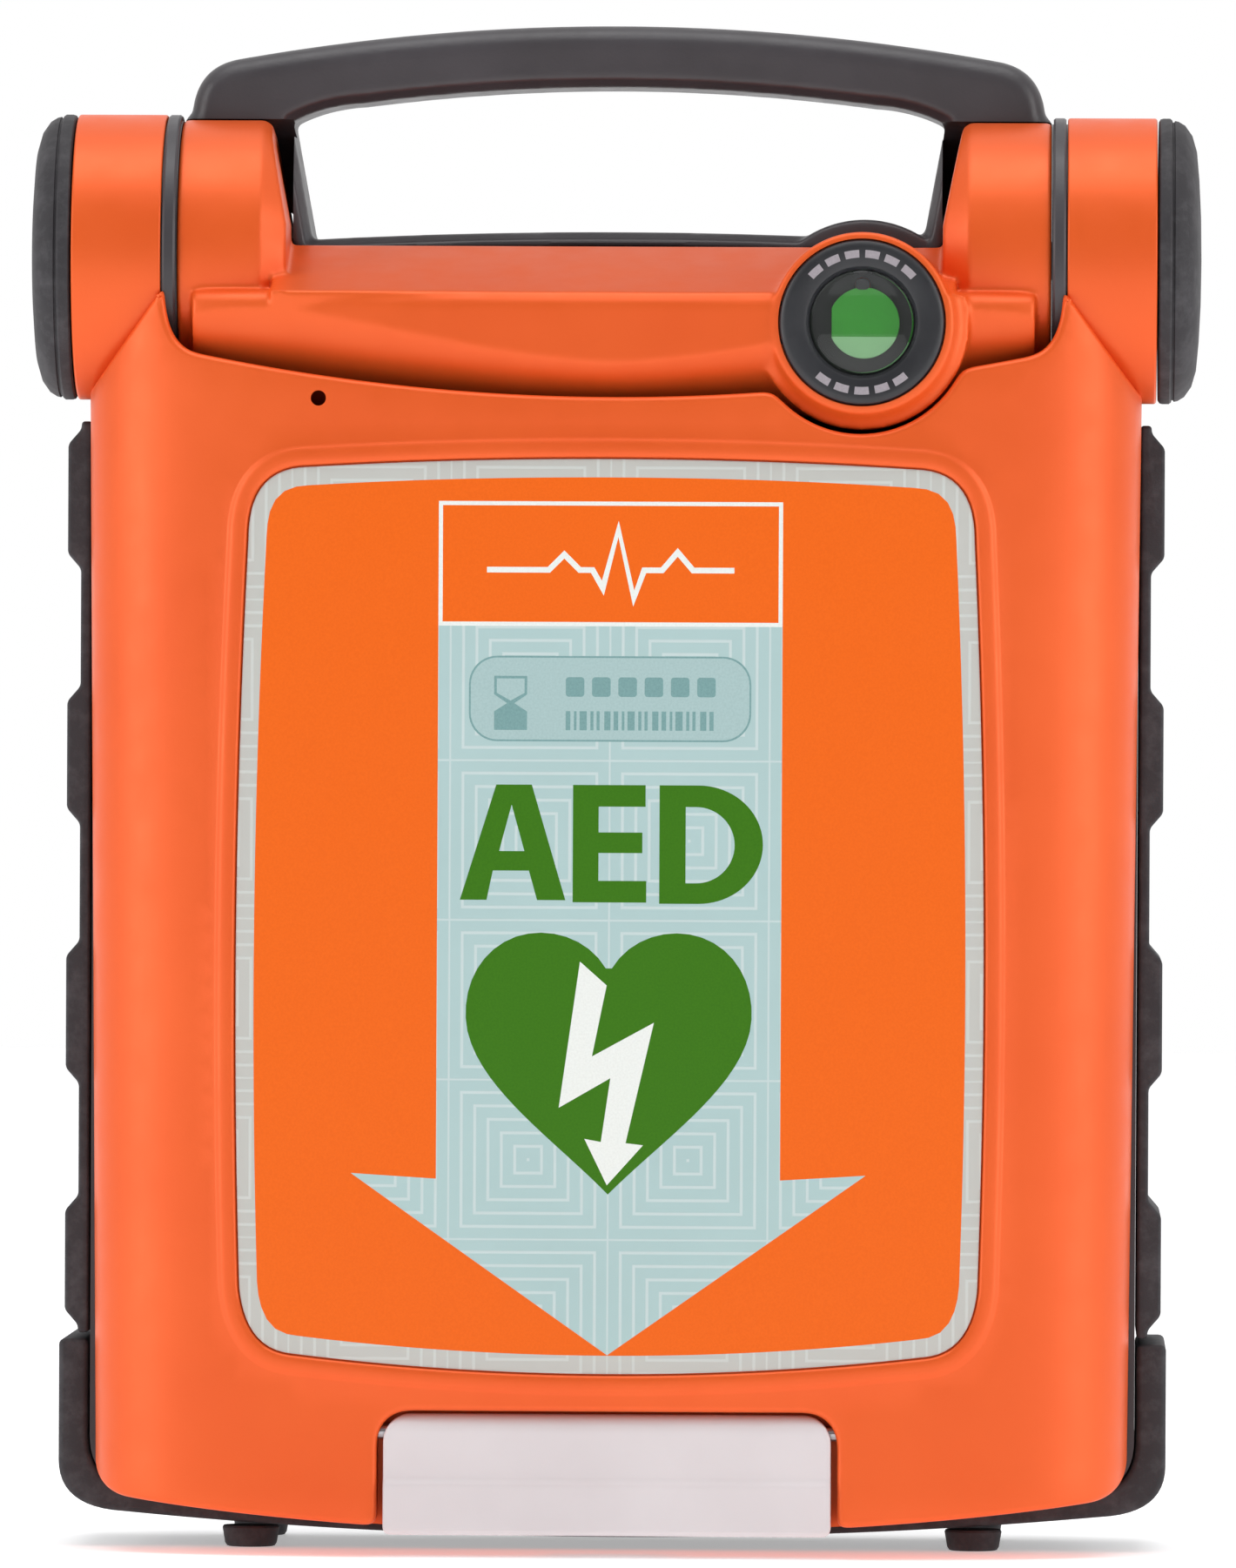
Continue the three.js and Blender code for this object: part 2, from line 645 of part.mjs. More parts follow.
// The bumper from the front: a U that wraps the housing's foot and lower sides.
function bumperOutline() {
  const w = 108.7;
  const top = 40.8;
  const inner = HOUSING_HALF_W + GAP;
  const shape = new THREE.Shape();
  shape.moveTo(-w, top);
  shape.lineTo(-w, 17);
  shape.quadraticCurveTo(-w, 7.6, -96, 6.9);
  shape.quadraticCurveTo(0, -2.1, 96, 6.9);
  shape.quadraticCurveTo(w, 7.6, w, 17);
  shape.lineTo(w, top);
  shape.lineTo(inner, top);
  shape.lineTo(inner, 22);
  shape.quadraticCurveTo(inner, 12 - GAP, 92, 11.2 - GAP);
  shape.quadraticCurveTo(0, 2.2 - GAP, -92, 11.2 - GAP);
  shape.quadraticCurveTo(-inner, 12 - GAP, -inner, 22);
  shape.lineTo(-inner, top);
  return shape;
}

// The room inside the arc that the lid's top edge sweeps about the hinge axis.
function lidSwingRoom() {
  const end = BAR_HALF_W + 0.5;
  const profile = [[0, -end], [31.2, -end], [35.2, -60], [41, 0], [35.2, 60], [31.2, end], [0, end]];
  return solid(turned(profile)).translate([0, AXIS_Y, AXIS_Z]);
}

function buildFrontHousing() {
  const barPlan = column(lidPlan(BAR_INSET, PARTING_Y + THROUGH), BAR_LOW_Z, BAR_TOP_Z);
  const barShape = roundedBox(-BAR_HALF_W, BAR_HALF_W, BAR_LOW_Z, BAR_TOP_Z + 15, 3);
  const barOutline = slab(barShape, LID_FRONT_Y, PARTING_Y - GAP);
  const lidSwing = lidSwingRoom();
  const bar = barPlan.intersect(barOutline).intersect(lidSwing);
  const ledgeProfile = outline([
    [PARTING_Y - GAP, BAR_LOW_Z + 0.5],
    [-36, BAR_LOW_Z + 0.5],
    [LID_FRONT_Y + 3, BAR_TOP_Z],
    [PARTING_Y - 0.5, LEDGE_TOP_Z],
    [HANDLE_Y0 - GAP, LEDGE_TOP_Z],
    [HANDLE_Y0 - GAP, TRAY_TOP_Z],
    [PARTING_Y - GAP, TRAY_TOP_Z],
  ]);
  const ledge = beam(ledgeProfile, -LEDGE_HALF_W, LEDGE_HALF_W).intersect(lidSwing);
  const barrel = alongX(INNER_BARREL_R, INNER_BARREL_X0, INNER_BARREL_X1, AXIS_Y, AXIS_Z);
  const barrels = barrel.add(barrel.mirror([1, 0, 0]));
  const bossReach = 47;
  const boss = alongY(BOSS_R, BOSS_FRONT_Y, HANDLE_Y0 - GAP, LIGHT_X, LIGHT_Z, 36)
    .intersect(alongX(bossReach, 0, 100, AXIS_Y, AXIS_Z))
    .subtract(box(0, 100, PARTING_Y - GAP, 0, TOWER_LOW_Z, TRAY_TOP_Z));
  const room = box(-56, 56, -32, PARTING_Y + THROUGH, 226, 246);
  const bezelSeat = alongY(BEZEL_R + GAP, -50, -39, LIGHT_X, LIGHT_Z, 36);
  const chamber = alongY(CHAMBER_R, -40, -34.5, LIGHT_X, LIGHT_Z, 36);
  const arborHole = alongY(1.4, -36, -20, LIGHT_X, FLAG_PIVOT_Z, 12);
  const pinBore = alongX(PIN_R + 0.1, -100, 100, AXIS_Y, AXIS_Z, 24);
  return bar
    .add(ledge)
    .add(barrels)
    .add(boss)
    .subtract(handleEnvelope(GAP))
    .subtract(room)
    .subtract(bezelSeat)
    .subtract(chamber)
    .subtract(arborHole)
    .subtract(pinBore);
}

// ---------- carry handle ----------

// The hand opening: a bowed top, sides that lean in towards the foot, and a bowed foot.
function openingPath(grow, foot) {
  const path = new THREE.Shape();
  const topX = OPENING_TOP_X + grow;
  const footX = OPENING_FOOT_X + grow;
  path.moveTo(-footX, OPENING_FOOT_Z - foot);
  path.quadraticCurveTo(0, OPENING_FOOT_Z - foot + 3.4, footX, OPENING_FOOT_Z - foot);
  path.lineTo(topX, OPENING_TOP_Z);
  path.quadraticCurveTo(58, OPENING_TOP_Z + 3.4, 50, OPENING_TOP_Z + 3.8);
  path.quadraticCurveTo(0, OPENING_TOP_Z + 10.4, -50, OPENING_TOP_Z + 3.8);
  path.quadraticCurveTo(-58, OPENING_TOP_Z + 3.4, -topX, OPENING_TOP_Z);
  return path;
}

// The space that the handle's lower loop takes up between the two fixed barrels.
function handleEnvelope(gap) {
  const cut = slab(openingPath(TRIM_W + gap, TRIM_T + gap), HANDLE_Y0 - gap, 100);
  const front = slab(openingPath(TRIM_W + gap, -1), -60, HANDLE_Y0);
  return cut.add(front);
}

function handleArch() {
  const foot = HANDLE_FOOT_X;
  const low = 262;
  const shoulder = 282;
  const bendX = 75;
  const bendZ = 292.4;
  const shape = new THREE.Shape();
  shape.moveTo(-foot, low);
  shape.lineTo(-foot, shoulder - 1.6);
  shape.lineTo(-foot + 1.4, shoulder);
  shape.quadraticCurveTo(-bendX - 8, bendZ - 1.6, -bendX, bendZ);
  shape.quadraticCurveTo(0, 2 * HANDLE_TOP_Z - bendZ, bendX, bendZ);
  shape.quadraticCurveTo(bendX + 8, bendZ - 1.6, foot - 1.4, shoulder);
  shape.lineTo(foot, shoulder - 1.6);
  shape.lineTo(foot, low);
  return shape;
}

function buildCarryHandle() {
  const arch = slab(handleArch(), HANDLE_Y0, HANDLE_Y1, 3);
  const loop = slab(openingPath(TRIM_W, TRIM_T), HANDLE_Y0, HANDLE_Y1);
  const humpR = BOSS_R + 3.6;
  const hump = alongY(humpR, HANDLE_Y0, HANDLE_Y1, LIGHT_X, LIGHT_Z, 36)
    .intersect(box(0, 100, -50, 50, LEDGE_TOP_Z - 0.7, LEDGE_TOP_Z + 14));
  const opening = slab(openingPath(0, 0), -50, 50);
  const trimClear = box(-100, 100, -50, 50, TOWER_LOW_Z, HOUSING_MID_TOP_Z + GAP);
  const towerShape = roundedBox(TOWER_X0 - GAP, TOWER_X1 + 10, TOWER_LOW_Z, TOWER_TOP_Z + GAP, 6);
  const towerClear = slab(towerShape, -50, 60);
  return arch
    .add(loop)
    .subtract(opening)
    .add(hump)
    .subtract(trimClear)
    .subtract(towerClear.add(towerClear.mirror([1, 0, 0])))
    .subtract(barrelClearance());
}

// ---------- feet, screws, hinge hardware ----------

function addFeet() {
  const geometry = new THREE.CylinderGeometry(5.6, 5, FOOT_H, 24);
  geometry.rotateX(Math.PI / 2);
  for (const [end, y] of [["front", -6], ["rear", 34]])
    for (const [side, x] of [["left", -FOOT_X], ["right", FOOT_X]]) {
      const foot = addMesh(base, `foot_${end}_${side}`, "rubber", geometry);
      foot.position.set(x, y, FOOT_H / 2);
    }
}

// A countersunk housing screw: head at the back, shank towards the deck.
function addRearScrews() {
  const head = alongY(SCREW_HEAD_R, -2, 0, 0, 0, 20);
  const driveSlot = box(-3.2, 3.2, -0.9, 1, -0.5, 0.5);
  const screw = geometryOf(head.add(alongY(1.9, -20, -1, 0, 0, 12)).subtract(driveSlot));
  for (const [level, z] of [["lower", SCREW_LOW_Z], ["upper", SCREW_HIGH_Z]])
    for (const [side, x] of [["left", -SCREW_X], ["right", SCREW_X]]) {
      const mesh = addMesh(base, `rear_screw_${level}_${side}`, "steel", screw);
      mesh.position.set(x, BACK_Y - GAP, z);
    }
}

function addHinge() {
  addAtBothEnds(base, "hinge_pin", "steel", turned([[0, 70], [PIN_R, 70], [PIN_R, 98], [0, 98]], 24));
  const ringX0 = INNER_BARREL_X1 + GAP;
  const ringX1 = OUTER_BARREL_X0 - GAP;
  addAtBothEnds(base, "hinge_ring", "charcoal", turned([
    [PIN_R + 1, ringX0],
    [OUTER_BARREL_R, ringX0],
    [OUTER_BARREL_R, ringX1],
    [PIN_R + 1, ringX1],
    [PIN_R + 1, ringX0],
  ]));
}

function addHousing() {
  add(base, "rear_housing", "charcoal", buildRearHousing());
  add(base, "front_housing", "orange", buildFrontHousing());
  add(base, "carry_handle", "charcoal", buildCarryHandle());
  add(base, "side_grip_right", "rubber", slab(sideGripOutline(1), PARTING_Y + GAP, GRIP_BACK_Y));
  add(base, "side_grip_left", "rubber", slab(sideGripOutline(-1), PARTING_Y + GAP, GRIP_BACK_Y));
  add(base, "bottom_bumper", "rubber", slab(bumperOutline(), PARTING_Y + GAP, BUMPER_BACK_Y));
}

// ---------- status indicator ----------

function addIndicator() {
  const ring = alongY(BEZEL_R, -44.4, -39.4, LIGHT_X, LIGHT_Z, 36);
  const ringBore = alongY(LENS_R + GAP, -46, -38, LIGHT_X, LIGHT_Z, 32);
  add(base, "indicator_bezel", "charcoal", ring.subtract(ringBore));
  add(base, "indicator_lens", "clear", alongY(LENS_R, -44.2, -41.5, LIGHT_X, LIGHT_Z, 32));
  const disc = alongY(FLAG_R, -38.4, -37.2, LIGHT_X, LIGHT_Z, 32);
  const stem = box(LIGHT_X - 1.5, LIGHT_X + 1.5, -38.4, -37.2, LIGHT_Z + 5, FLAG_PIVOT_Z + 1.2);
  const arbor = alongY(1, -37.6, -28.5, LIGHT_X, FLAG_PIVOT_Z, 12);
  add(base, "indicator_flag", "green", disc.add(stem).add(arbor));
  const coil = box(LIGHT_X - 10, LIGHT_X + 6, -31.5, -24, 233, 245.5);
  const arborBore = alongY(1.4, -40, -20, LIGHT_X, FLAG_PIVOT_Z, 12);
  add(base, "indicator_coil", "dark", coil.subtract(arborBore));
}

// ---------- control deck ----------

function buildDeck() {
  const plate = slab(roundedBox(-96.4, 96.4, 16.4, 217.5, 10), DECK_Y0, DECK_Y1);
  return plate
    .subtract(alongY(SHOCK_R + GAP, -20, 0, SHOCK_X, SHOCK_Z, 32))
    .subtract(alongY(LANGUAGE_R + GAP, -20, 0, LANGUAGE_X, LANGUAGE_Z, 24))
    .subtract(alongY(SPEAKER_R + GAP, -20, 0, SPEAKER_X, SPEAKER_Z, 28))
    .subtract(box(-60, 20, -20, 0, 176, 206))
    .subtract(box(SOCKET_X - 13, SOCKET_X + 13, -20, 0, SOCKET_Z - 10, SOCKET_Z + 10));
}

function buildGrille() {
  let grille = alongY(SPEAKER_R, DECK_Y0, DECK_Y1, SPEAKER_X, SPEAKER_Z, 28);
  for (const dz of [-10, -5, 0, 5, 10]) {
    const half = 0.78 * Math.sqrt(SPEAKER_R ** 2 - dz ** 2);
    const z = SPEAKER_Z + dz;
    grille = grille.subtract(box(SPEAKER_X - half, SPEAKER_X + half, -20, 0, z - 1, z + 1));
  }
  return grille;
}

function buildSocket() {
  const body = box(SOCKET_X - 12.7, SOCKET_X + 12.7, -16, -4, SOCKET_Z - 9.7, SOCKET_Z + 9.7);
  return body.subtract(box(SOCKET_X - 9, SOCKET_X + 9, -20, -7, SOCKET_Z - 6, SOCKET_Z + 6));
}

function buildGasket() {
  const outer = slab(roundedBox(-99.3, 99.3, 14.7, 220.4, 12), DECK_Y0 + 0.3, DECK_Y1);
  return outer.subtract(slab(roundedBox(-96.8, 96.8, 16, 217.9, 10), -30, 0));
}

function buildPouch() {
  return slab(roundedBox(-80, 40, 40, 160, 8), -31.5, -14, 3);
}

function addDeck() {
  add(base, "control_deck", "charcoal", buildDeck());
  add(base, "deck_gasket", "rubber", buildGasket());
  add(base, "display_window", "clear", box(-59.7, 19.7, DECK_Y0, DECK_Y0 + 1.5, 176.3, 205.7));
  add(base, "display_module", "dark", box(-58, 18, -9.3, -5, 174, 208));
  add(base, "shock_button", "red", alongY(SHOCK_R, -16.5, -8, SHOCK_X, SHOCK_Z, 32));
  add(base, "shock_switch", "dark", box(SHOCK_X - 7, SHOCK_X + 7, -5.5, -0.4, SHOCK_Z - 7, SHOCK_Z + 7));
  add(base, "language_button", "pale", alongY(LANGUAGE_R, -13.4, -8, LANGUAGE_X, LANGUAGE_Z, 24));
  add(base, "speaker_grille", "dark", buildGrille());
  add(base, "speaker", "dark", alongY(SPEAKER_R, -9.2, -1, SPEAKER_X, SPEAKER_Z, 32));
  add(base, "pads_socket", "pale", buildSocket());
  add(base, "pads_pouch", "foil", buildPouch());
}

// ---------- electronics and battery ----------

function addElectronics() {
  add(base, "main_board", "board", box(-90, 90, 0, 1.6, 114, 214));
  add(base, "hv_capacitor", "dark", alongX(15, -80, -10, 20, 160, 32));
  add(base, "charging_transformer", "dark", box(10, 44, 4, 32, 140, 172));
  add(base, "switching_module", "dark", box(54, 88, 4, 16, 132, 182));
  add(base, "lid_sensor", "dark", box(83, 92, -9, -5, 204, 214));
}

function buildBattery() {
  const shape = roundedBox(-BATTERY_HALF_W, BATTERY_HALF_W, BATTERY_Z0, BATTERY_Z1, 3);
  const block = slab(shape, BATTERY_Y0, BACK_Y, 0);
  const releaseSeat = box(-10.4, 10.4, 37, BACK_Y + 1, 84, 102.4);
  return block.subtract(releaseSeat);
}

function addBattery() {
  add(base, "battery_pack", "dark", buildBattery());
  add(base, "battery_release", "pale", box(-10, 10, 37.4, BACK_Y - 0.4, 92, 102));
  add(base, "battery_contacts", "steel", box(-14, 14, 4, 9.4, 60, 74));
}

addHousing();
addFeet();
addRearScrews();
addHinge();
addIndicator();
addDeck();
addElectronics();
addBattery();
addLid();
addLatch();

export default root;
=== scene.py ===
"""Looks of a lidded, carry-handled defibrillator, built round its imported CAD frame.

Pieces are drawn in millimetres and stored in metres. +X is the viewer's right, the lid faces -Y, +Z is up.
"""
import math

import bmesh
import bpy
import numpy as np
from mathutils import Matrix, Vector
from mathutils.geometry import delaunay_2d_cdt


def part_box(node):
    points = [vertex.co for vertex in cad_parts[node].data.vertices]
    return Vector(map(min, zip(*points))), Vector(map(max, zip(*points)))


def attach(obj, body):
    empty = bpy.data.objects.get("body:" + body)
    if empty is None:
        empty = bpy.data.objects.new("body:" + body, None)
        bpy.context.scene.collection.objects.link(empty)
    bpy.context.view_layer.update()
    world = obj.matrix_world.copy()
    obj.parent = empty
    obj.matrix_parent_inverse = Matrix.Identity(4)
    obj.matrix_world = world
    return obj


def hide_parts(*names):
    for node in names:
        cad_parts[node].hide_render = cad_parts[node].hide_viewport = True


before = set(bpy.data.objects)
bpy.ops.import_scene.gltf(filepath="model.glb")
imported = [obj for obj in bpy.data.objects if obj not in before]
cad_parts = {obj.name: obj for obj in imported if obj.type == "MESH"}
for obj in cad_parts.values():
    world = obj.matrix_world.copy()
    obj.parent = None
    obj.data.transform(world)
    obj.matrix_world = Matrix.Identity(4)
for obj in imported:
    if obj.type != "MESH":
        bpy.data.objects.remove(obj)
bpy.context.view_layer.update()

MM = 0.001


def span(node):
    """A CAD node's lowest and highest corners in millimetres."""
    low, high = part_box(node)
    return [v / MM for v in low], [v / MM for v in high]


# ---------- camera ----------

VIEW_DISTANCE = 3.0
VIEW_AZIMUTH = math.radians(1.6)
VIEW_HEIGHT = 0.172
VIEW_ROLL = math.radians(0.27)
VIEW_TARGET = Vector((0.0012, -0.03, 0.1504))
FRAME_HEIGHT = 0.3058
SENSOR = 36.0
FARTHEST = 20.0


def add_camera():
    data = bpy.data.cameras.new("camera")
    data.sensor_fit = "VERTICAL"
    data.sensor_height = SENSOR
    data.lens = SENSOR * VIEW_DISTANCE / FRAME_HEIGHT
    data.clip_end = FARTHEST
    camera = bpy.data.objects.new("camera", data)
    bpy.context.scene.collection.objects.link(camera)
    offset = Vector((math.sin(VIEW_AZIMUTH), -math.cos(VIEW_AZIMUTH), 0)) * VIEW_DISTANCE
    camera.location = VIEW_TARGET + offset
    camera.location.z = VIEW_HEIGHT
    aim = (VIEW_TARGET - camera.location).to_track_quat("-Z", "Y")
    camera.rotation_euler = (aim.to_matrix() @ Matrix.Rotation(VIEW_ROLL, 3, "Z")).to_euler()
    bpy.context.scene.camera = camera


add_camera()


# ---------- meshes ----------

def remove(obj):
    mesh = obj.data
    bpy.data.objects.remove(obj)
    bpy.data.meshes.remove(mesh)


def make(name, points, faces):
    """A mesh object from points in millimetres, its faces turned outwards."""
    mesh = bpy.data.meshes.new(name)
    mesh.from_pydata([(x * MM, y * MM, z * MM) for x, y, z in points], [], faces)
    work = bmesh.new()
    work.from_mesh(mesh)
    bmesh.ops.remove_doubles(work, verts=work.verts, dist=1e-7)
    bmesh.ops.recalc_face_normals(work, faces=work.faces)
    work.to_mesh(mesh)
    work.free()
    obj = bpy.data.objects.new(name, mesh)
    bpy.context.scene.collection.objects.link(obj)
    return obj


def bake(obj):
    """Applies an object's modifiers."""
    bpy.context.view_layer.update()
    graph = bpy.context.evaluated_depsgraph_get()
    mesh = bpy.data.meshes.new_from_object(obj.evaluated_get(graph))
    obj.modifiers.clear()
    old = obj.data
    obj.data = mesh
    bpy.data.meshes.remove(old)
    return obj


def combine(obj, tools, operation):
    """Joins, cuts or trims an object with each of the tools, which are used up."""
    for tool in tools:
        modifier = obj.modifiers.new("combine", "BOOLEAN")
        modifier.operation = operation
        modifier.solver = "MANIFOLD"
        modifier.object = tool
        bake(obj)
        remove(tool)
    return obj


def join(obj, *tools):
    return combine(obj, tools, "UNION")


def cut(obj, *tools):
    return combine(obj, tools, "DIFFERENCE")


def trim(obj, *tools):
    return combine(obj, tools, "INTERSECT")


def bevel(obj, width, segments=4, angle=40):
    modifier = obj.modifiers.new("bevel", "BEVEL")
    modifier.width = width * MM
    modifier.segments = segments
    modifier.limit_method = "ANGLE"
    modifier.angle_limit = math.radians(angle)
    return bake(obj)


def soften(obj, voxel, rounds):
    """Remeshes a solid and smooths it, so that its corners become moulded fillets."""
    modifier = obj.modifiers.new("remesh", "REMESH")
    modifier.mode = "VOXEL"
    modifier.voxel_size = voxel * MM
    modifier = obj.modifiers.new("smooth", "SMOOTH")
    modifier.factor = 0.5
    modifier.iterations = rounds
    return bake(obj)


def mirrored(obj, name=None):
    """A copy of an object, mirrored across X."""
    mesh = obj.data.copy()
    mesh.transform(Matrix.Scale(-1, 4, (1, 0, 0)))
    mesh.flip_normals()
    copy = bpy.data.objects.new(name or obj.name + "_copy", mesh)
    bpy.context.scene.collection.objects.link(copy)
    return copy


def merged(name, objects):
    """One object holding several separate solids."""
    work = bmesh.new()
    materials = []
    for obj in objects:
        offset = len(materials)
        materials.extend(obj.data.materials)
        start = len(work.faces)
        work.from_mesh(obj.data)
        work.faces.ensure_lookup_table()
        for face in work.faces[start:]:
            face.material_index += offset
    mesh = bpy.data.meshes.new(name)
    work.to_mesh(mesh)
    work.free()
    for material in materials:
        mesh.materials.append(material)
    for obj in objects:
        remove(obj)
    result = bpy.data.objects.new(name, mesh)
    bpy.context.scene.collection.objects.link(result)
    return result


# ---------- outlines and solids ----------

TOUCHING = 1e-4


def arc_points(cu, cv, ru, rv, start, end, steps):
    """Points of an arc round (cu, cv) from start to end, in degrees."""
    angles = [math.radians(start + (end - start) * i / steps) for i in range(steps + 1)]
    return [(cu + ru * math.cos(angle), cv + rv * math.sin(angle)) for angle in angles]


class Outline:
    """Points of a flat outline, drawn with lines, quadratic bends and arcs."""

    def __init__(self, u, v):
        self.points = [(u, v)]

    def line(self, u, v):
        self.points.append((u, v))
        return self

    def run(self, u, v, steps):
        """A straight line in several steps."""
        u0, v0 = self.points[-1]
        for i in range(1, steps + 1):
            self.points.append((u0 + (u - u0) * i / steps, v0 + (v - v0) * i / steps))
        return self

    def bend(self, cu, cv, u, v, steps=24):
        u0, v0 = self.points[-1]
        for i in range(1, steps + 1):
            t = i / steps
            a, b, c = (1 - t) ** 2, 2 * t * (1 - t), t * t
            self.points.append((a * u0 + b * cu + c * u, a * v0 + b * cv + c * v))
        return self

    def arc(self, cu, cv, ru, rv, start, end, steps=16):
        self.points += arc_points(cu, cv, ru, rv, start, end, steps)
        return self

    def closed(self):
        """The points, without those that lie on the one before."""
        points = [self.points[0]]
        for point in self.points[1:]:
            if math.dist(point, points[-1]) > TOUCHING:
                points.append(point)
        if math.dist(points[0], points[-1]) < TOUCHING:
            points.pop()
        return points


def rectangle(u0, u1, v0, v1):
    return [(u0, v0), (u1, v0), (u1, v1), (u0, v1)]


def rounded(u0, u1, v0, v1, radius, steps=10):
    path = Outline(u0 + radius, v0)
    for cu, cv, start in ((u1, v0, -90), (u1, v1, 0), (u0, v1, 90), (u0, v0, 180)):
        inner_u = cu - radius if cu == u1 else cu + radius
        inner_v = cv - radius if cv == v1 else cv + radius
        path.arc(inner_u, inner_v, radius, radius, start, start + 90, steps)
    return path.closed()


def circle(u, v, radius, steps=96):
    return arc_points(u, v, radius, radius, 0, 360, steps)[:-1]


def area(points):
    p = np.array(points)
    q = np.roll(p, -1, axis=0)
    return 0.5 * float(np.sum(p[:, 0] * q[:, 1] - q[:, 0] * p[:, 1]))


def grown(points, distance):
    """An outline moved outwards by distance."""
    p = np.array(points if area(points) > 0 else points[::-1], dtype=float)
    ahead = np.roll(p, -1, axis=0) - p
    ahead /= np.linalg.norm(ahead, axis=1)[:, None]
    normal = np.stack([ahead[:, 1], -ahead[:, 0]], axis=1)
    mean = normal + np.roll(normal, 1, axis=0)
    mean /= np.linalg.norm(mean, axis=1)[:, None]
    stretch = 1 / np.clip(np.sum(mean * normal, axis=1), 0.6, 1)
    return [tuple(v) for v in p + mean * (distance * stretch)[:, None]]


def loft(name, rings):
    """A closed solid through rings of points, each with the same number of points."""
    count = len(rings[0])
    points = [point for ring in rings for point in ring]
    faces = [list(range(count)), list(range(len(points) - count, len(points)))]
    for level in range(len(rings) - 1):
        base = level * count
        for i in range(count):
            j = (i + 1) % count
            faces.append([base + i, base + j, base + count + j, base + count + i])
    return make(name, points, faces)


def slab(name, outline, y0, y1):
    """An outline in X and Z, drawn out along Y."""
    return loft(name, [[(u, y, v) for u, v in outline] for y in (y0, y1)])


def rounding(edge, steps):
    """A rounded edge in steps up to the face: how far each lies in from the side, and below the face."""
    turns = [math.pi / 2 * i / steps for i in range(steps + 1)]
    return [(edge * (1 - math.cos(turn)), edge * (1 - math.sin(turn))) for turn in turns]


def rounded_slab(name, outline, y0, y1, edge, steps=5):
    """An outline drawn out along Y, its front and back edges rounded."""
    front = [(y0 + below, -inset) for inset, below in reversed(rounding(edge, steps))]
    back = [(y0 + y1 - y, grow) for y, grow in reversed(front)]
    return loft(name, [[(u, y, v) for u, v in grown(outline, grow)] for y, grow in front + back])


def column(name, outline, z0, z1):
    """An outline in X and Y, drawn up along Z."""
    return loft(name, [[(u, v, z) for u, v in outline] for z in (z0, z1)])


def beam(name, outline, x0, x1):
    """An outline in Y and Z, drawn out along X."""
    return loft(name, [[(x, u, v) for u, v in outline] for x in (x0, x1)])


def both_sides(near, far):
    """The stretch of X from near to far, at the right and then at the left."""
    return (near, far), (-far, -near)


def block(name, x0, x1, y0, y1, z0, z1):
    return slab(name, rectangle(x0, x1, z0, z1), y0, y1)


def turned(name, profile, axis, centre, steps=128):
    """A profile of (radius, distance along the axis) pairs, turned about X, Y or Z through centre."""
    points, faces, rows = [], [], []
    cx, cy, cz = centre
    for radius, along in profile:
        row = []
        for i in range(steps if radius > 0 else 1):
            angle = 2 * math.pi * i / steps
            u, v = radius * math.cos(angle), radius * math.sin(angle)
            place = {"X": (cx + along, cy + u, cz + v), "Y": (cx + u, cy + along, cz + v),
                     "Z": (cx + u, cy + v, cz + along)}[axis]
            row.append(len(points))
            points.append(place)
        rows.append(row)
    for low, high in zip(rows, rows[1:]):
        for i in range(steps):
            j = i + 1
            corners = [low[i % len(low)], low[j % len(low)], high[j % len(high)], high[i % len(high)]]
            faces.append(list(dict.fromkeys(corners)))
    if len(rows[0]) > 1 and profile[0] != profile[-1]:
        faces.append(rows[0])
        faces.append(rows[-1])
    return make(name, points, faces)


def rod(name, axis, radius, start, end, centre=(0, 0, 0), steps=64):
    return turned(name, [(0, start), (radius, start), (radius, end), (0, end)], axis, centre, steps)


def rounded_rod(name, axis, radius, start, end, edge, centre=(0, 0, 0), steps=96, rings=6):
    """A rod whose two rims are rounded by edge."""
    profile = [(0, start)]
    for turn, at, sign in ((-90, start, 1), (0, end, -1)):
        for i in range(rings + 1):
            angle = math.radians(turn + 90 * i / rings)
            across, along = edge * math.cos(angle), edge * math.sin(angle)
            profile.append((radius - edge + across, at + sign * edge + along))
    profile.append((0, end))
    return turned(name, profile, axis, centre, steps)


# ---------- materials ----------

def srgb(red, green, blue):
    """A colour given in 0 to 255, as linear light."""
    def linear(value):
        value /= 255
        return value / 12.92 if value <= 0.04045 else ((value + 0.055) / 1.055) ** 2.4
    return linear(red), linear(green), linear(blue), 1.0


def paler(colour, step):
    return [min(255, value + step) for value in colour]


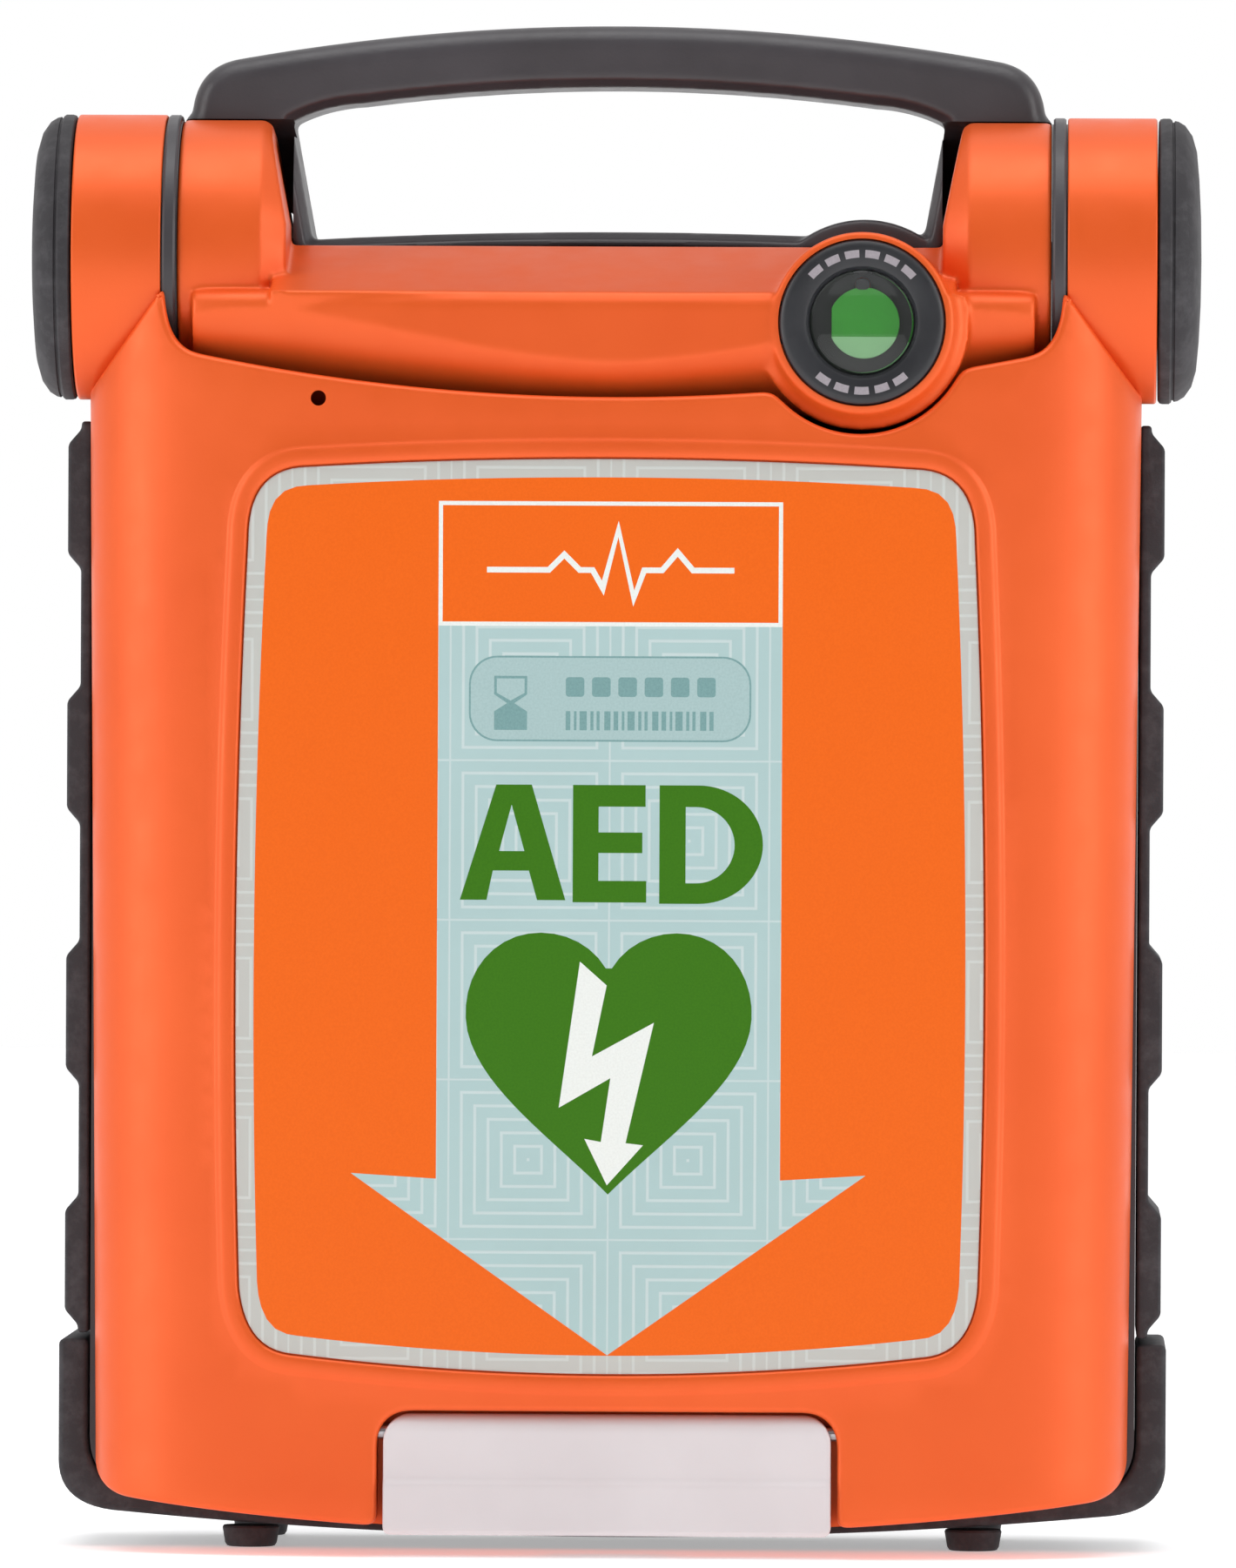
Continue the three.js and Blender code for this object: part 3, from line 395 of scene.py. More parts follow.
class Paint:
    """A procedural material, built up node by node."""

    def __init__(self, name, roughness=0.5, **sockets):
        self.material = bpy.data.materials.new(name)
        self.material.use_nodes = True
        self.nodes = self.material.node_tree.nodes
        self.links = self.material.node_tree.links
        self.shader = self.nodes["Principled BSDF"]
        self.shader.inputs["Roughness"].default_value = roughness
        for socket, value in sockets.items():
            self.shader.inputs[socket.replace("_", " ")].default_value = value
        self.place = self.nodes.new("ShaderNodeTexCoord").outputs["Object"]
        self.height = None

    def noise(self, scale, detail=3, roughness=0.5):
        """Noise whose lumps are about 1 / scale metres wide."""
        node = self.nodes.new("ShaderNodeTexNoise")
        node.inputs["Scale"].default_value = scale
        node.inputs["Detail"].default_value = detail
        node.inputs["Roughness"].default_value = roughness
        self.links.new(self.place, node.inputs["Vector"])
        return node.outputs["Fac"]

    def math(self, operation, a, b=0.0, c=0.0):
        node = self.nodes.new("ShaderNodeMath")
        node.operation = operation
        for socket, value in zip(node.inputs, (a, b, c)):
            if isinstance(value, (int, float)):
                socket.default_value = value
            else:
                self.links.new(value, socket)
        return node.outputs[0]

    def ramp(self, value, low, high, from_low=0.0, from_high=1.0):
        node = self.nodes.new("ShaderNodeMapRange")
        for index, number in enumerate((from_low, from_high, low, high), start=1):
            node.inputs[index].default_value = number
        self.links.new(value, node.inputs[0])
        return node.outputs[0]

    def mix(self, value, first, second):
        node = self.nodes.new("ShaderNodeMix")
        node.data_type = "RGBA"
        self.links.new(value, node.inputs["Factor"])
        for socket, colour in ((node.inputs[6], first), (node.inputs[7], second)):
            if isinstance(colour, tuple):
                socket.default_value = colour
            else:
                self.links.new(colour, socket)
        return node.outputs[2]

    def colour(self, source):
        self.links.new(source, self.shader.inputs["Base Color"])
        return self

    def roughness(self, source):
        self.links.new(source, self.shader.inputs["Roughness"])
        return self

    def bump(self, source, depth, strength=1.0):
        node = self.nodes.new("ShaderNodeBump")
        node.inputs["Distance"].default_value = depth * MM
        node.inputs["Strength"].default_value = strength
        self.links.new(source, node.inputs["Height"])
        if self.height is not None:
            self.links.new(self.height, node.inputs["Normal"])
        self.height = node.outputs["Normal"]
        self.links.new(self.height, self.shader.inputs["Normal"])
        return self


def moulded(name, first, second, rough, grain=1800, depth=0.02, vary=30, **sockets):
    """Moulded plastic: a slow drift of colour, uneven gloss and a fine spark-eroded grain."""
    paint = Paint(name, **sockets)
    paint.colour(paint.mix(paint.ramp(paint.noise(vary), 0, 1, 0.3, 0.7), srgb(*first), srgb(*second)))
    paint.roughness(paint.ramp(paint.noise(vary * 6), rough[0], rough[1], 0.3, 0.7))
    paint.bump(paint.noise(grain, 2), depth)
    return paint.material


def rubbery(name, first, second):
    """Soft rubber: matt, with a slightly dusty bloom and a coarse grain."""
    paint = Paint(name, Specular_IOR_Level=0.35)
    dust = paint.ramp(paint.noise(240, 5, 0.7), 0, 1, 0.45, 0.8)
    paint.colour(paint.mix(dust, srgb(*first), srgb(*second)))
    paint.roughness(paint.ramp(paint.noise(90), 0.55, 0.75))
    paint.bump(paint.noise(2600, 2), 0.03)
    return paint.material


def printed(name, first, second, gloss=0.28):
    """Printed film under a clear face, with a faint screen grain."""
    paint = Paint(name, Specular_IOR_Level=0.25)
    paint.colour(paint.mix(paint.ramp(paint.noise(2400, 2), 0, 1, 0.35, 0.65), srgb(*first), srgb(*second)))
    paint.roughness(paint.ramp(paint.noise(60), gloss, gloss + 0.12))
    paint.bump(paint.noise(5, 1), 0.15)
    return paint.material


LINE_PITCH = 2.6
LINE_WIDTH = 0.62


def lined_film(name, ground, line, tile=31.0):
    """Printed film with thin pale lines: nested squares in tiles."""
    paint = Paint(name, Specular_IOR_Level=0.25)
    parts = paint.nodes.new("ShaderNodeSeparateXYZ")
    paint.links.new(paint.place, parts.inputs[0])
    across = paint.math("MULTIPLY", parts.outputs["X"], 1 / MM)
    up = paint.math("MULTIPLY", parts.outputs["Z"], 1 / MM)
    half = tile / 2
    folded = [paint.math("SUBTRACT", paint.math("PINGPONG", way, tile), half) for way in (across, up)]
    nested = paint.math("MAXIMUM", *[paint.math("ABSOLUTE", way) for way in folded])
    wave = paint.math("PINGPONG", nested, LINE_PITCH / 2)
    mask = paint.ramp(wave, 1, 0, LINE_WIDTH / 2 - 0.12, LINE_WIDTH / 2 + 0.06)
    base = paint.mix(paint.noise(45), srgb(*ground), srgb(*paler(ground, 7)))
    paint.colour(paint.mix(mask, base, srgb(*line)))
    paint.roughness(paint.ramp(paint.noise(60), 0.26, 0.38))
    paint.bump(mask, 0.03)
    return paint.material


def brushed(name, tone, rough=(0.25, 0.4)):
    """Machined metal with fine turning lines."""
    paint = Paint(name, Metallic=1.0)
    fine = paint.noise(1400, 4, 0.7)
    paint.colour(paint.mix(fine, srgb(*tone), srgb(*paler(tone, 24))))
    paint.roughness(paint.ramp(paint.noise(500, 3), *rough))
    paint.bump(fine, 0.008)
    return paint.material


def clear_part(name, tint, rough=0.03, **sockets):
    paint = Paint(name, rough, Transmission_Weight=1.0, IOR=1.46, **sockets)
    paint.colour(paint.mix(paint.noise(80), srgb(*tint), srgb(*paler(tint, 4))))
    paint.bump(paint.noise(60, 1), 0.004)
    return paint.material


def circuit(name):
    """Solder mask over copper traces."""
    paint = Paint(name, 0.35)
    cells = paint.nodes.new("ShaderNodeTexBrick")
    cells.inputs["Scale"].default_value = 260
    cells.inputs["Mortar Size"].default_value = 0.03
    turn = paint.nodes.new("ShaderNodeMapping")
    turn.inputs["Rotation"].default_value = (math.pi / 2, 0, 0)
    paint.links.new(paint.place, turn.inputs["Vector"])
    paint.links.new(turn.outputs["Vector"], cells.inputs["Vector"])
    mask = paint.math("MULTIPLY", cells.outputs["Fac"], paint.ramp(paint.noise(120), 0, 1, 0.45, 0.55))
    paint.colour(paint.mix(mask, srgb(22, 84, 48), srgb(60, 130, 74)))
    paint.bump(mask, 0.05)
    return paint.material


def foil(name):
    """Crinkled laminated foil."""
    paint = Paint(name, Metallic=0.75)
    crease = paint.nodes.new("ShaderNodeTexVoronoi")
    crease.feature = "DISTANCE_TO_EDGE"
    crease.inputs["Scale"].default_value = 90
    paint.links.new(paint.place, crease.inputs["Vector"])
    paint.colour(paint.mix(paint.noise(150), srgb(196, 200, 205), srgb(226, 229, 233)))
    paint.roughness(paint.ramp(paint.noise(300), 0.28, 0.5))
    paint.bump(paint.noise(160, 5, 0.6), 0.35)
    paint.bump(crease.outputs["Distance"], 0.3, 0.5)
    return paint.material


ORANGE = moulded("orange_satin", (226, 88, 28), (231, 94, 33), (0.38, 0.46), 2600, 0.012, 25,
                 Metallic=0.28, Specular_IOR_Level=0.42)
CHARCOAL = moulded("charcoal_moulding", (54, 51, 54), (64, 61, 65), (0.36, 0.46), 1500, 0.03, 40)
RUBBER = rubbery("grip_rubber", (48, 46, 49), (72, 70, 73))
PALE = moulded("pale_moulding", (205, 198, 200), (213, 207, 209), (0.38, 0.48), 2200, 0.012, 30)
DARK = moulded("dark_moulding", (30, 31, 35), (38, 39, 43), (0.35, 0.45), 1800, 0.02, 60)
RED = moulded("shock_red", (176, 26, 24), (190, 34, 30), (0.25, 0.32), 2200, 0.01, 60)
# The flag's green and its pale band get a faint emission: painted light on a part that is no lamp, standing
# in for the light that reaches it through the lens.
FLAG_GREEN_GLOW = moulded("flag_green", (40, 142, 30), (52, 158, 42), (0.4, 0.5), 1800, 0.01, 90,
               Emission_Color=srgb(48, 152, 37), Emission_Strength=0.25)
FLAG_BAND_GLOW = moulded("flag_band_painted_glow", (140, 200, 138), (152, 208, 150), (0.4, 0.5), 1800, 0.01, 90,
                    Emission_Color=srgb(140, 200, 138), Emission_Strength=0.25)
STEEL = brushed("machined_steel", (160, 162, 166))
BLACK_STEEL = brushed("black_steel", (60, 61, 64))
LABEL_ORANGE = printed("label_orange", (228, 96, 8), (232, 100, 12))
LABEL_GREEN = printed("label_green", (50, 108, 0), (55, 113, 2))
LABEL_WHITE = printed("label_white", (222, 226, 222), (228, 232, 228))
LABEL_TEAL = printed("label_teal", (112, 150, 150), (120, 158, 158))
LABEL_PANE = printed("label_pane", (158, 184, 184), (164, 190, 190))
LABEL_AQUA = lined_film("label_aqua", (164, 190, 190), (190, 206, 206))
LABEL_BORDER = lined_film("label_border", (182, 183, 178), (196, 200, 196))
LENS_CLEAR = clear_part("lens_clear", (250, 252, 252))
BOARD = circuit("board_green")
FOIL = foil("pouch_foil")
RING_MARK = printed("ring_mark", (150, 144, 149), (158, 151, 157), 0.4)


# ---------- placing pieces ----------

def painted(obj, *materials):
    obj.data.materials.clear()
    for material in materials:
        obj.data.materials.append(material)
    obj.data.polygons.foreach_set("material_index", [0] * len(obj.data.polygons))
    return obj


def show(obj, body, materials=None, replaces=(), angle=34):
    """Gives a piece its finish, its body and the CAD nodes that it stands for."""
    if materials:
        painted(obj, *materials)
    obj.data.shade_smooth()
    obj.data.set_sharp_from_angle(angle=math.radians(angle))
    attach(obj, body)
    if replaces:
        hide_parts(*replaces)
    return obj


# ---------- driving dimensions ----------

LID_LOW, LID_HIGH = span("lid_shell")
PIN_LOW, PIN_HIGH = span("hinge_pin_right")
RING_LOW, RING_HIGH = span("hinge_ring_right")
BEZEL_LOW, BEZEL_HIGH = span("indicator_bezel")
LATCH_LOW, LATCH_HIGH = span("latch_lever")
BACK_Y = span("rear_housing")[1][1]

AXIS_Y = (PIN_LOW[1] + PIN_HIGH[1]) / 2
AXIS_Z = (PIN_LOW[2] + PIN_HIGH[2]) / 2
OUTER_R = (RING_HIGH[2] - RING_LOW[2]) / 2
INNER_R = OUTER_R - 1
AXLE = (0, AXIS_Y, AXIS_Z)
INNER_X0, INNER_X1 = 64.0, RING_LOW[0] - 0.3
OUTER_X0, OUTER_X1 = RING_HIGH[0] + 0.3, LID_HIGH[0]
PIN_R, BUSH_R = 3.7, 6.0
GAP, WALL = 0.3, 2.8

LIGHT_X = (BEZEL_LOW[0] + BEZEL_HIGH[0]) / 2
LIGHT_Z = (BEZEL_LOW[2] + BEZEL_HIGH[2]) / 2
BEZEL_R = (BEZEL_HIGH[0] - BEZEL_LOW[0]) / 2
LIGHT = (LIGHT_X, 0, LIGHT_Z)

FRONT_Y, PARTING_Y = LID_LOW[1], -12.0
LID_HALF_W, LID_POWER, LID_TAPER = 103.0, 3.2, 2.0
TOP_MID_Z, TOP_END_Z, TOP_END_X = 225.6, 233.8, 81.0
EAR_TOP_Z, EAR_LOW_Z = 247.0, 227.0
HOUSING_HALF_W, HOUSING_TOP_Z = 102.5, 238.0
BRIDGE_TOP_Z, TOWER_TOP_Z, TOWER_X0, TOWER_X1 = 253.4, 276.0, 67.0, 84.8
FOOT_MID_Z, FOOT_END_Z, FOOT_END_X = 4.8, 10.8, 95.0
SCOOP_R = 21.7
LID_EDGE_R = 1.2
LATCH_HALF_W = LATCH_HIGH[0]
LATCH_PIN_Y, LATCH_PIN_Z, LATCH_PIN_R, LATCH_END_R = -40.5, 24.4, 1.5, 3.6
LATCH_PIN = (0, LATCH_PIN_Y, LATCH_PIN_Z)
RECESS_Y = -36.4
RECESS_HALF_W = LATCH_HALF_W + 1.5
RECESS_TOP_Z = LATCH_PIN_Z + LATCH_END_R + 0.6
MICROPHONE = (-57, 0, 225.2)
# How far the flag's arbor lies below the top of its arm.
ARBOR_DROP = 1.2


# ---------- lid ----------

def superellipse(half_w, depth, steps=120):
    """Points of the lid's plan, from its right rim round the front to its left rim."""
    points = []
    for i in range(steps + 1):
        c, s = math.cos(math.pi * i / steps), math.sin(math.pi * i / steps)
        x = math.copysign(abs(c) ** (2 / LID_POWER), c)
        points.append((half_w * x, PARTING_Y - depth * max(s, 0) ** (2 / LID_POWER)))
    return points


def lid_plan(inset, back_y):
    half_w = LID_HALF_W - inset
    return [(half_w, back_y)] + superellipse(half_w, PARTING_Y - FRONT_Y - inset) + [(-half_w, back_y)]


def lid_core(inset, z0=-5.0, z1=300.0):
    return column("core", lid_plan(inset, PARTING_Y + 2), z0, z1)


PLAN = np.array(superellipse(LID_HALF_W, PARTING_Y - FRONT_Y, 8000)[:4001][::-1])
PLAN_S = np.concatenate([[0], np.cumsum(np.linalg.norm(np.diff(PLAN, axis=0), axis=1))])
PLAN_T = np.gradient(PLAN, PLAN_S, axis=0)


def width_scale(z):
    """How much the lid narrows towards its foot."""
    fraction = np.clip((EAR_LOW_Z - z) / (EAR_LOW_Z - FOOT_END_Z), 0, 1)
    return 1 - LID_TAPER * fraction / LID_HALF_W


def girth(x, z):
    """Distance round the lid's front from its middle, where the lid is x off centre."""
    return np.sign(x) * np.interp(np.abs(x) / width_scale(z), PLAN[:, 0], PLAN_S)


def lid_point(s, z, lift):
    """A point on the lid's front, lifted off it."""
    side, s = np.sign(s), np.abs(s)
    tx, ty = np.interp(s, PLAN_S, PLAN_T[:, 0]), np.interp(s, PLAN_S, PLAN_T[:, 1])
    length = np.hypot(tx, ty)
    x = np.interp(s, PLAN_S, PLAN[:, 0]) * width_scale(z) + lift * ty / length
    y = np.interp(s, PLAN_S, PLAN[:, 1]) - lift * tx / length
    return np.stack([side * x, y, z + 0 * s], axis=-1)


def wrapped(points):
    return [(float(girth(x, z)), z) for x, z in points]


def resampled(points, step):
    p = np.array(points + points[:1])
    run = np.concatenate([[0], np.cumsum(np.linalg.norm(np.diff(p, axis=0), axis=1))])
    at = np.linspace(0, run[-1], max(8, round(run[-1] / step)), endpoint=False)
    return [tuple(v) for v in np.stack([np.interp(at, run, p[:, 0]), np.interp(at, run, p[:, 1])], axis=1)]


def eased(points, step, rounds):
    """An outline in even steps, its corners rounded off by averaging."""
    p = np.array(resampled(points, step))
    for _ in range(rounds):
        p = (np.roll(p, 1, axis=0) + 2 * p + np.roll(p, -1, axis=0)) / 4
    return [tuple(v) for v in p]


def inside(places, outline):
    """Which places lie inside an outline."""
    u, v = places[:, 0], places[:, 1]
    result = np.zeros(len(places), bool)
    p = np.array(outline)
    for (u0, v0), (u1, v1) in zip(p, np.roll(p, -1, axis=0)):
        if v0 != v1:
            result ^= ((v0 > v) != (v1 > v)) & (u < (u1 - u0) * (v - v0) / (v1 - v0) + u0)
    return result


def grid_points(loops, step_u, step_v, clear):
    """Evenly spaced places inside the first loop, kept clear of every loop's points."""
    outer = np.array(loops[0])
    (u0, v0), (u1, v1) = outer.min(axis=0), outer.max(axis=0)
    u, v = np.meshgrid(np.arange(u0, u1, step_u), np.arange(v0, v1, step_v))
    places = np.stack([u.ravel(), v.ravel()], axis=1)
    places = places[inside(places, loops[0])]
    lines = np.concatenate([np.array(loop) for loop in loops])
    near = np.zeros(len(places), bool)
    for start in range(0, len(lines), 400):
        part = lines[start:start + 400]
        gap = np.abs(places[:, None, :] - part[None, :, :]).max(axis=2).min(axis=1)
        near |= gap < clear
    return [tuple(place) for place in places[~near]]


def tessellate(loops, loose):
    """Delaunay triangles that keep every loop's edges: places, triangles, and each input's index."""
    places = [Vector(p) for loop in loops for p in loop] + [Vector(p) for p in loose]
    edges, start = [], 0
    for loop in loops:
        count = len(loop)
        edges += [(start + i, start + (i + 1) % count) for i in range(count)]
        start += count
    verts, _, faces, sources, _, _ = delaunay_2d_cdt(places, edges, [], 0, 1e-4)
    index = {source: out for out, origin in enumerate(sources) for source in origin}
    return np.array([(v.x, v.y) for v in verts]), np.array(faces), index


def foot_z(x):
    return FOOT_MID_Z + (FOOT_END_Z - FOOT_MID_Z) * (x / FOOT_END_X) ** 2


def top_z(x):
    return TOP_MID_Z + (TOP_END_Z - TOP_MID_Z) * (x / TOP_END_X) ** 2


def along(curve, x0, x1, steps=60):
    return [(x, curve(x)) for x in np.linspace(x0, x1, steps)]


def lid_outline():
    """The lid's edge: bowed foot with the latch's notch, sides, ears, and a dipped, scooped top."""
    corner, side = 7.0, LID_HALF_W
    low_side = side * float(width_scale(FOOT_END_Z + corner))
    path = Outline(-FOOT_END_X, FOOT_END_Z)
    path.points += along(foot_z, -FOOT_END_X, -RECESS_HALF_W)
    path.arc(-RECESS_HALF_W + 6, RECESS_TOP_Z - 6, 6, 6, 180, 90, 12)
    path.arc(RECESS_HALF_W - 6, RECESS_TOP_Z - 6, 6, 6, 90, 0, 12)
    path.points += along(foot_z, RECESS_HALF_W, FOOT_END_X)
    path.bend(low_side, FOOT_END_Z + 1, low_side, FOOT_END_Z + corner)
    path.run(side, EAR_LOW_Z, 60).run(OUTER_X0, EAR_TOP_Z, 30)
    path.bend(OUTER_X0, TOP_END_Z + 1, TOP_END_X, TOP_END_Z)
    dip = along(top_z, TOP_END_X, -TOP_END_X, 400)
    clear = [math.dist(p, (LIGHT_X, LIGHT_Z)) > SCOOP_R for p in dip]
    first, last = clear.index(False), len(clear) - clear[::-1].index(False)
    bearing = [math.degrees(math.atan2(z - LIGHT_Z, x - LIGHT_X)) for x, z in (dip[first], dip[last - 1])]
    path.points += dip[:first]
    path.arc(LIGHT_X, LIGHT_Z, SCOOP_R, SCOOP_R, bearing[0], bearing[1], 40)
    path.points += dip[last:]
    path.bend(-OUTER_X0, TOP_END_Z + 1, -OUTER_X0, EAR_TOP_Z)
    path.run(-side, EAR_LOW_Z, 30).run(-low_side, FOOT_END_Z + corner, 60)
    path.bend(-low_side, FOOT_END_Z + 1, -FOOT_END_X, FOOT_END_Z)
    return path.closed()


LABEL_HALF_W, LABEL_TOP_Z, LABEL_FOOT_Z, LABEL_CORNER_R = 73.0, 213.6, 35.9, 12.0
LABEL_SINK = 0.8


def label_outline():
    """The label's edge: bowed top and foot, sides a little fuller at mid height."""
    half_w, top, foot, r = LABEL_HALF_W, LABEL_TOP_Z, LABEL_FOOT_Z, LABEL_CORNER_R
    taper, bow = 2.4, 3.5
    path = Outline(0, foot)
    path.bend((half_w - r) / 2, foot, half_w - r, foot + bow)
    path.bend(half_w - taper, foot + bow + 0.6, half_w - taper / 2, foot + bow + r + 1)
    path.bend(half_w + taper / 2, (top + foot) / 2, half_w - taper, top - bow - r, 60)
    path.bend(half_w - taper, top - bow / 2, half_w - taper - r, top - bow / 2)
    path.bend((half_w - r) / 2, top, 0, top)
    right = path.points
    return right + [(-u, v) for u, v in right[::-1][1:-1]]


# How far outside the label's edge each line of the raised bead lies, and how far it stands up.
BEAD = [(4.4, 0.0), (4.1, 0.08), (3.7, 0.3), (3.3, 0.52), (2.8, 0.64), (2.1, 0.7), (1.4, 0.7), (0.8, 0.6),
        (0.45, 0.4), (0.3, 0.1), (0.2, -LABEL_SINK)]


def lid_block():
    """The lid as a full block: rounded edges, the label's bead on its front, and straight walls behind."""
    edge = eased(wrapped(lid_outline()), 1.0, 4)
    keep = 1 - 0.5 / PLAN_S[-1]
    edge = [(s * keep, z) for s, z in edge]
    loops, lifts, steps = [], [], 5
    for inset, below in rounding(LID_EDGE_R, steps):
        loops.append(grown(edge, -inset))
        lifts.append(-below)
    seat = resampled(wrapped(label_outline()), 1.5)
    for grow, lift in BEAD:
        loops.append(grown(seat, grow))
        lifts.append(lift)
    places, faces, index = tessellate(loops, grid_points([loops[steps]] + loops, 2.6, 5.2, 1.3))
    height = np.where(inside(places, loops[-1]), -LABEL_SINK, 0.0)
    start = 0
    for loop, lift in zip(loops, lifts):
        for i in range(start, start + len(loop)):
            height[index[i]] = lift
        start += len(loop)
    keep_faces = faces[inside(places[faces].mean(axis=1), loops[0])]
    points = [tuple(p) for p in lid_point(places[:, 0], places[:, 1], height)]
    rim = [index[i] for i in range(len(loops[0]))]
    back = len(points)
    points += [(points[i][0], PARTING_Y, points[i][2]) for i in rim]
    count = len(rim)
    walls = [[rim[i], rim[(i + 1) % count], back + (i + 1) % count, back + i] for i in range(count)]
    used = sorted({i for face in keep_faces for i in face} | set(range(back, back + count)))
    order = {old: new for new, old in enumerate(used)}
    shapes = [list(face) for face in keep_faces] + walls + [list(range(back, back + count))]
    return make("lid_shell_visual", [points[i] for i in used], [[order[i] for i in face] for face in shapes])


def lid_cavity():
    """The room behind the lid's front, open at the top, less what backs the latch's recess."""
    foot, middle, corner_x = FOOT_END_Z + WALL + 0.2, FOOT_MID_Z + WALL, FOOT_END_X - 3
    half_w = LID_HALF_W - 4
    path = Outline(-corner_x, foot)
    path.points += along(lambda x: middle + (foot - middle) * (x / corner_x) ** 2, -corner_x, corner_x)
    path.bend(half_w, foot, half_w, foot + 8)
    path.line(half_w, TOP_MID_Z - WALL).line(-half_w, TOP_MID_Z - WALL).line(-half_w, foot + 8)
    path.bend(-half_w, foot, -corner_x, foot)
    cavity = slab("cavity", path.closed(), FRONT_Y, PARTING_Y + 1)
    open_top = OUTER_X0 - 0.1
    join(cavity, block("top", -open_top, open_top, FRONT_Y, PARTING_Y + 1, 200, 262))
    trim(cavity, lid_core(WALL))
    return cut(cavity, block("pocket", -50, 50, RECESS_Y - 12, RECESS_Y + WALL, 0, 33))


def build_lid():
    shell = lid_block()
    half = RECESS_HALF_W + 2
    fill = along(foot_z, -half, half) + [(half, RECESS_TOP_Z + 2.4), (-half, RECESS_TOP_Z + 2.4)]
    join(shell, slab("recess_back", fill, RECESS_Y, PARTING_Y))
    cut(shell, lid_cavity())
    for x0, x1 in both_sides(OUTER_X0, OUTER_X1):
        join(shell, rounded_rod("barrel", "X", OUTER_R, x0, x1, 0.5, AXLE, 180))
    past = OUTER_X1 + 3
    for hollow, bore in zip(both_sides(OUTER_X0 + WALL, past), both_sides(OUTER_X0 - 3, past)):
        cut(shell, rod("hollow", "X", OUTER_R - WALL, *hollow, AXLE, 128))
        cut(shell, rod("bore", "X", BUSH_R + GAP, *bore, AXLE))
    hole = [(0, -52), (2.6, -52), (2.5, FRONT_Y + 0.2), (1.5, FRONT_Y + 1.3), (1.5, -30), (0, -30)]
    cut(shell, turned("microphone", hole, "Y", MICROPHONE, 48))
    cut(shell, rod("pin_bore", "X", LATCH_PIN_R + 0.1, -RECESS_HALF_W - 4, RECESS_HALF_W + 4, LATCH_PIN))
    cut(shell, block("finger_slot", -12, 12, RECESS_Y - 1, -27, 0, 10.2))
    show(shell, "lid", [ORANGE], ["lid_shell"])


# ---------- label ----------

def cubic(start, one, two, end, steps=24):
    points = []
    for i in range(1, steps + 1):
        t = i / steps
        weights = (1 - t) ** 3, 3 * t * (1 - t) ** 2, 3 * t * t * (1 - t), t ** 3
        points.append(tuple(sum(w * p[k] for w, p in zip(weights, (start, one, two, end))) for k in (0, 1)))
    return points


def heart():
    """A plain heart: two lobes and a point."""
    notch, lobe, wide, tip = (0, 113.6), (13.2, 121.6), (27.8, 105.8), (0, 70.8)
    right = cubic(tip, (11, 82), (27.8, 93), wide) + cubic(wide, (27.8, 115), (21.5, 121.6), lobe)
    right += cubic(lobe, (7.4, 121.6), (2.2, 118.4), notch)
    return [tip] + right + [(-u, v) for u, v in right[::-1][1:]]


def stroke(points, width):
    """A line of constant width through points."""
    p = np.array(points, dtype=float)
    ahead = np.diff(p, axis=0)
    ahead /= np.linalg.norm(ahead, axis=1)[:, None]
    ahead = np.concatenate([ahead[:1], ahead, ahead[-1:]])
    mean = ahead[:-1] + ahead[1:]
    mean /= np.linalg.norm(mean, axis=1)[:, None]
    side = np.stack([-mean[:, 1], mean[:, 0]], axis=1)
    reach = width / 2 / np.clip(np.abs(np.sum(mean * ahead[:-1], axis=1)), 0.35, 1)
    left, right = p + side * reach[:, None], p - side * reach[:, None]
    return [tuple(v) for v in left] + [tuple(v) for v in right[::-1]]


def split_long(shape, longest):
    """An outline whose long edges are divided, its corners kept."""
    points = []
    for (u0, v0), (u1, v1) in zip(shape, shape[1:] + shape[:1]):
        steps = max(1, math.ceil(math.dist((u0, v0), (u1, v1)) / longest))
        points += [(u0 + (u1 - u0) * i / steps, v0 + (v1 - v0) * i / steps) for i in range(steps)]
    return points


BORDER_W = 3.6
SHAFT_HALF_W, HEAD_HALF_W, SHOULDER_Z, TIP_Z = 33.4, 50.0, 73.7, 39.6
HEADER_Z0, HEADER_Z1, HEADER_LINE = 181.1, 205.3, 0.8
WINDOW_HALF_W, WINDOW_Z0, WINDOW_Z1 = 27.4, 158.7, 175.3

LETTER_A = [(-22.0, 150.3), (-15.1, 150.3), (-8.5, 127.9), (-14.0, 127.9), (-15.6, 133.6), (-22.6, 133.6),
            (-23.8, 127.9), (-29.0, 127.9)]
LETTER_A_EYE = [(-19.0, 146.4), (-21.4, 137.4), (-16.5, 137.4)]
LETTER_E = [(-7.1, 127.5), (7.2, 127.5), (7.2, 131.7), (-2.1, 131.7), (-2.1, 137.1), (6.4, 137.1),
            (6.4, 141.1), (-2.1, 141.1), (-2.1, 146.1), (7.0, 146.1), (7.0, 150.3), (-7.1, 150.3)]
LETTER_D = Outline(9.7, 127.3).line(17.3, 127.3)
LETTER_D = LETTER_D.arc(17.3, 138.8, 12.5, 11.5, -90, 90, 40).line(9.7, 150.3).closed()
LETTER_D_EYE = Outline(14.8, 131.3).line(16.8, 131.3)
LETTER_D_EYE = LETTER_D_EYE.arc(16.8, 138.7, 7.5, 7.4, -90, 90, 32).line(14.8, 146.1).closed()
BOLT = [(-5.6, 116.0), (-0.4, 111.4), (-3.2, 97.6), (8.8, 104.2), (3.4, 80.8), (6.8, 80.4), (-0.2, 72.6),
        (-4.6, 81.6), (-1.4, 81.0), (0.4, 93.4), (-9.6, 87.6)]
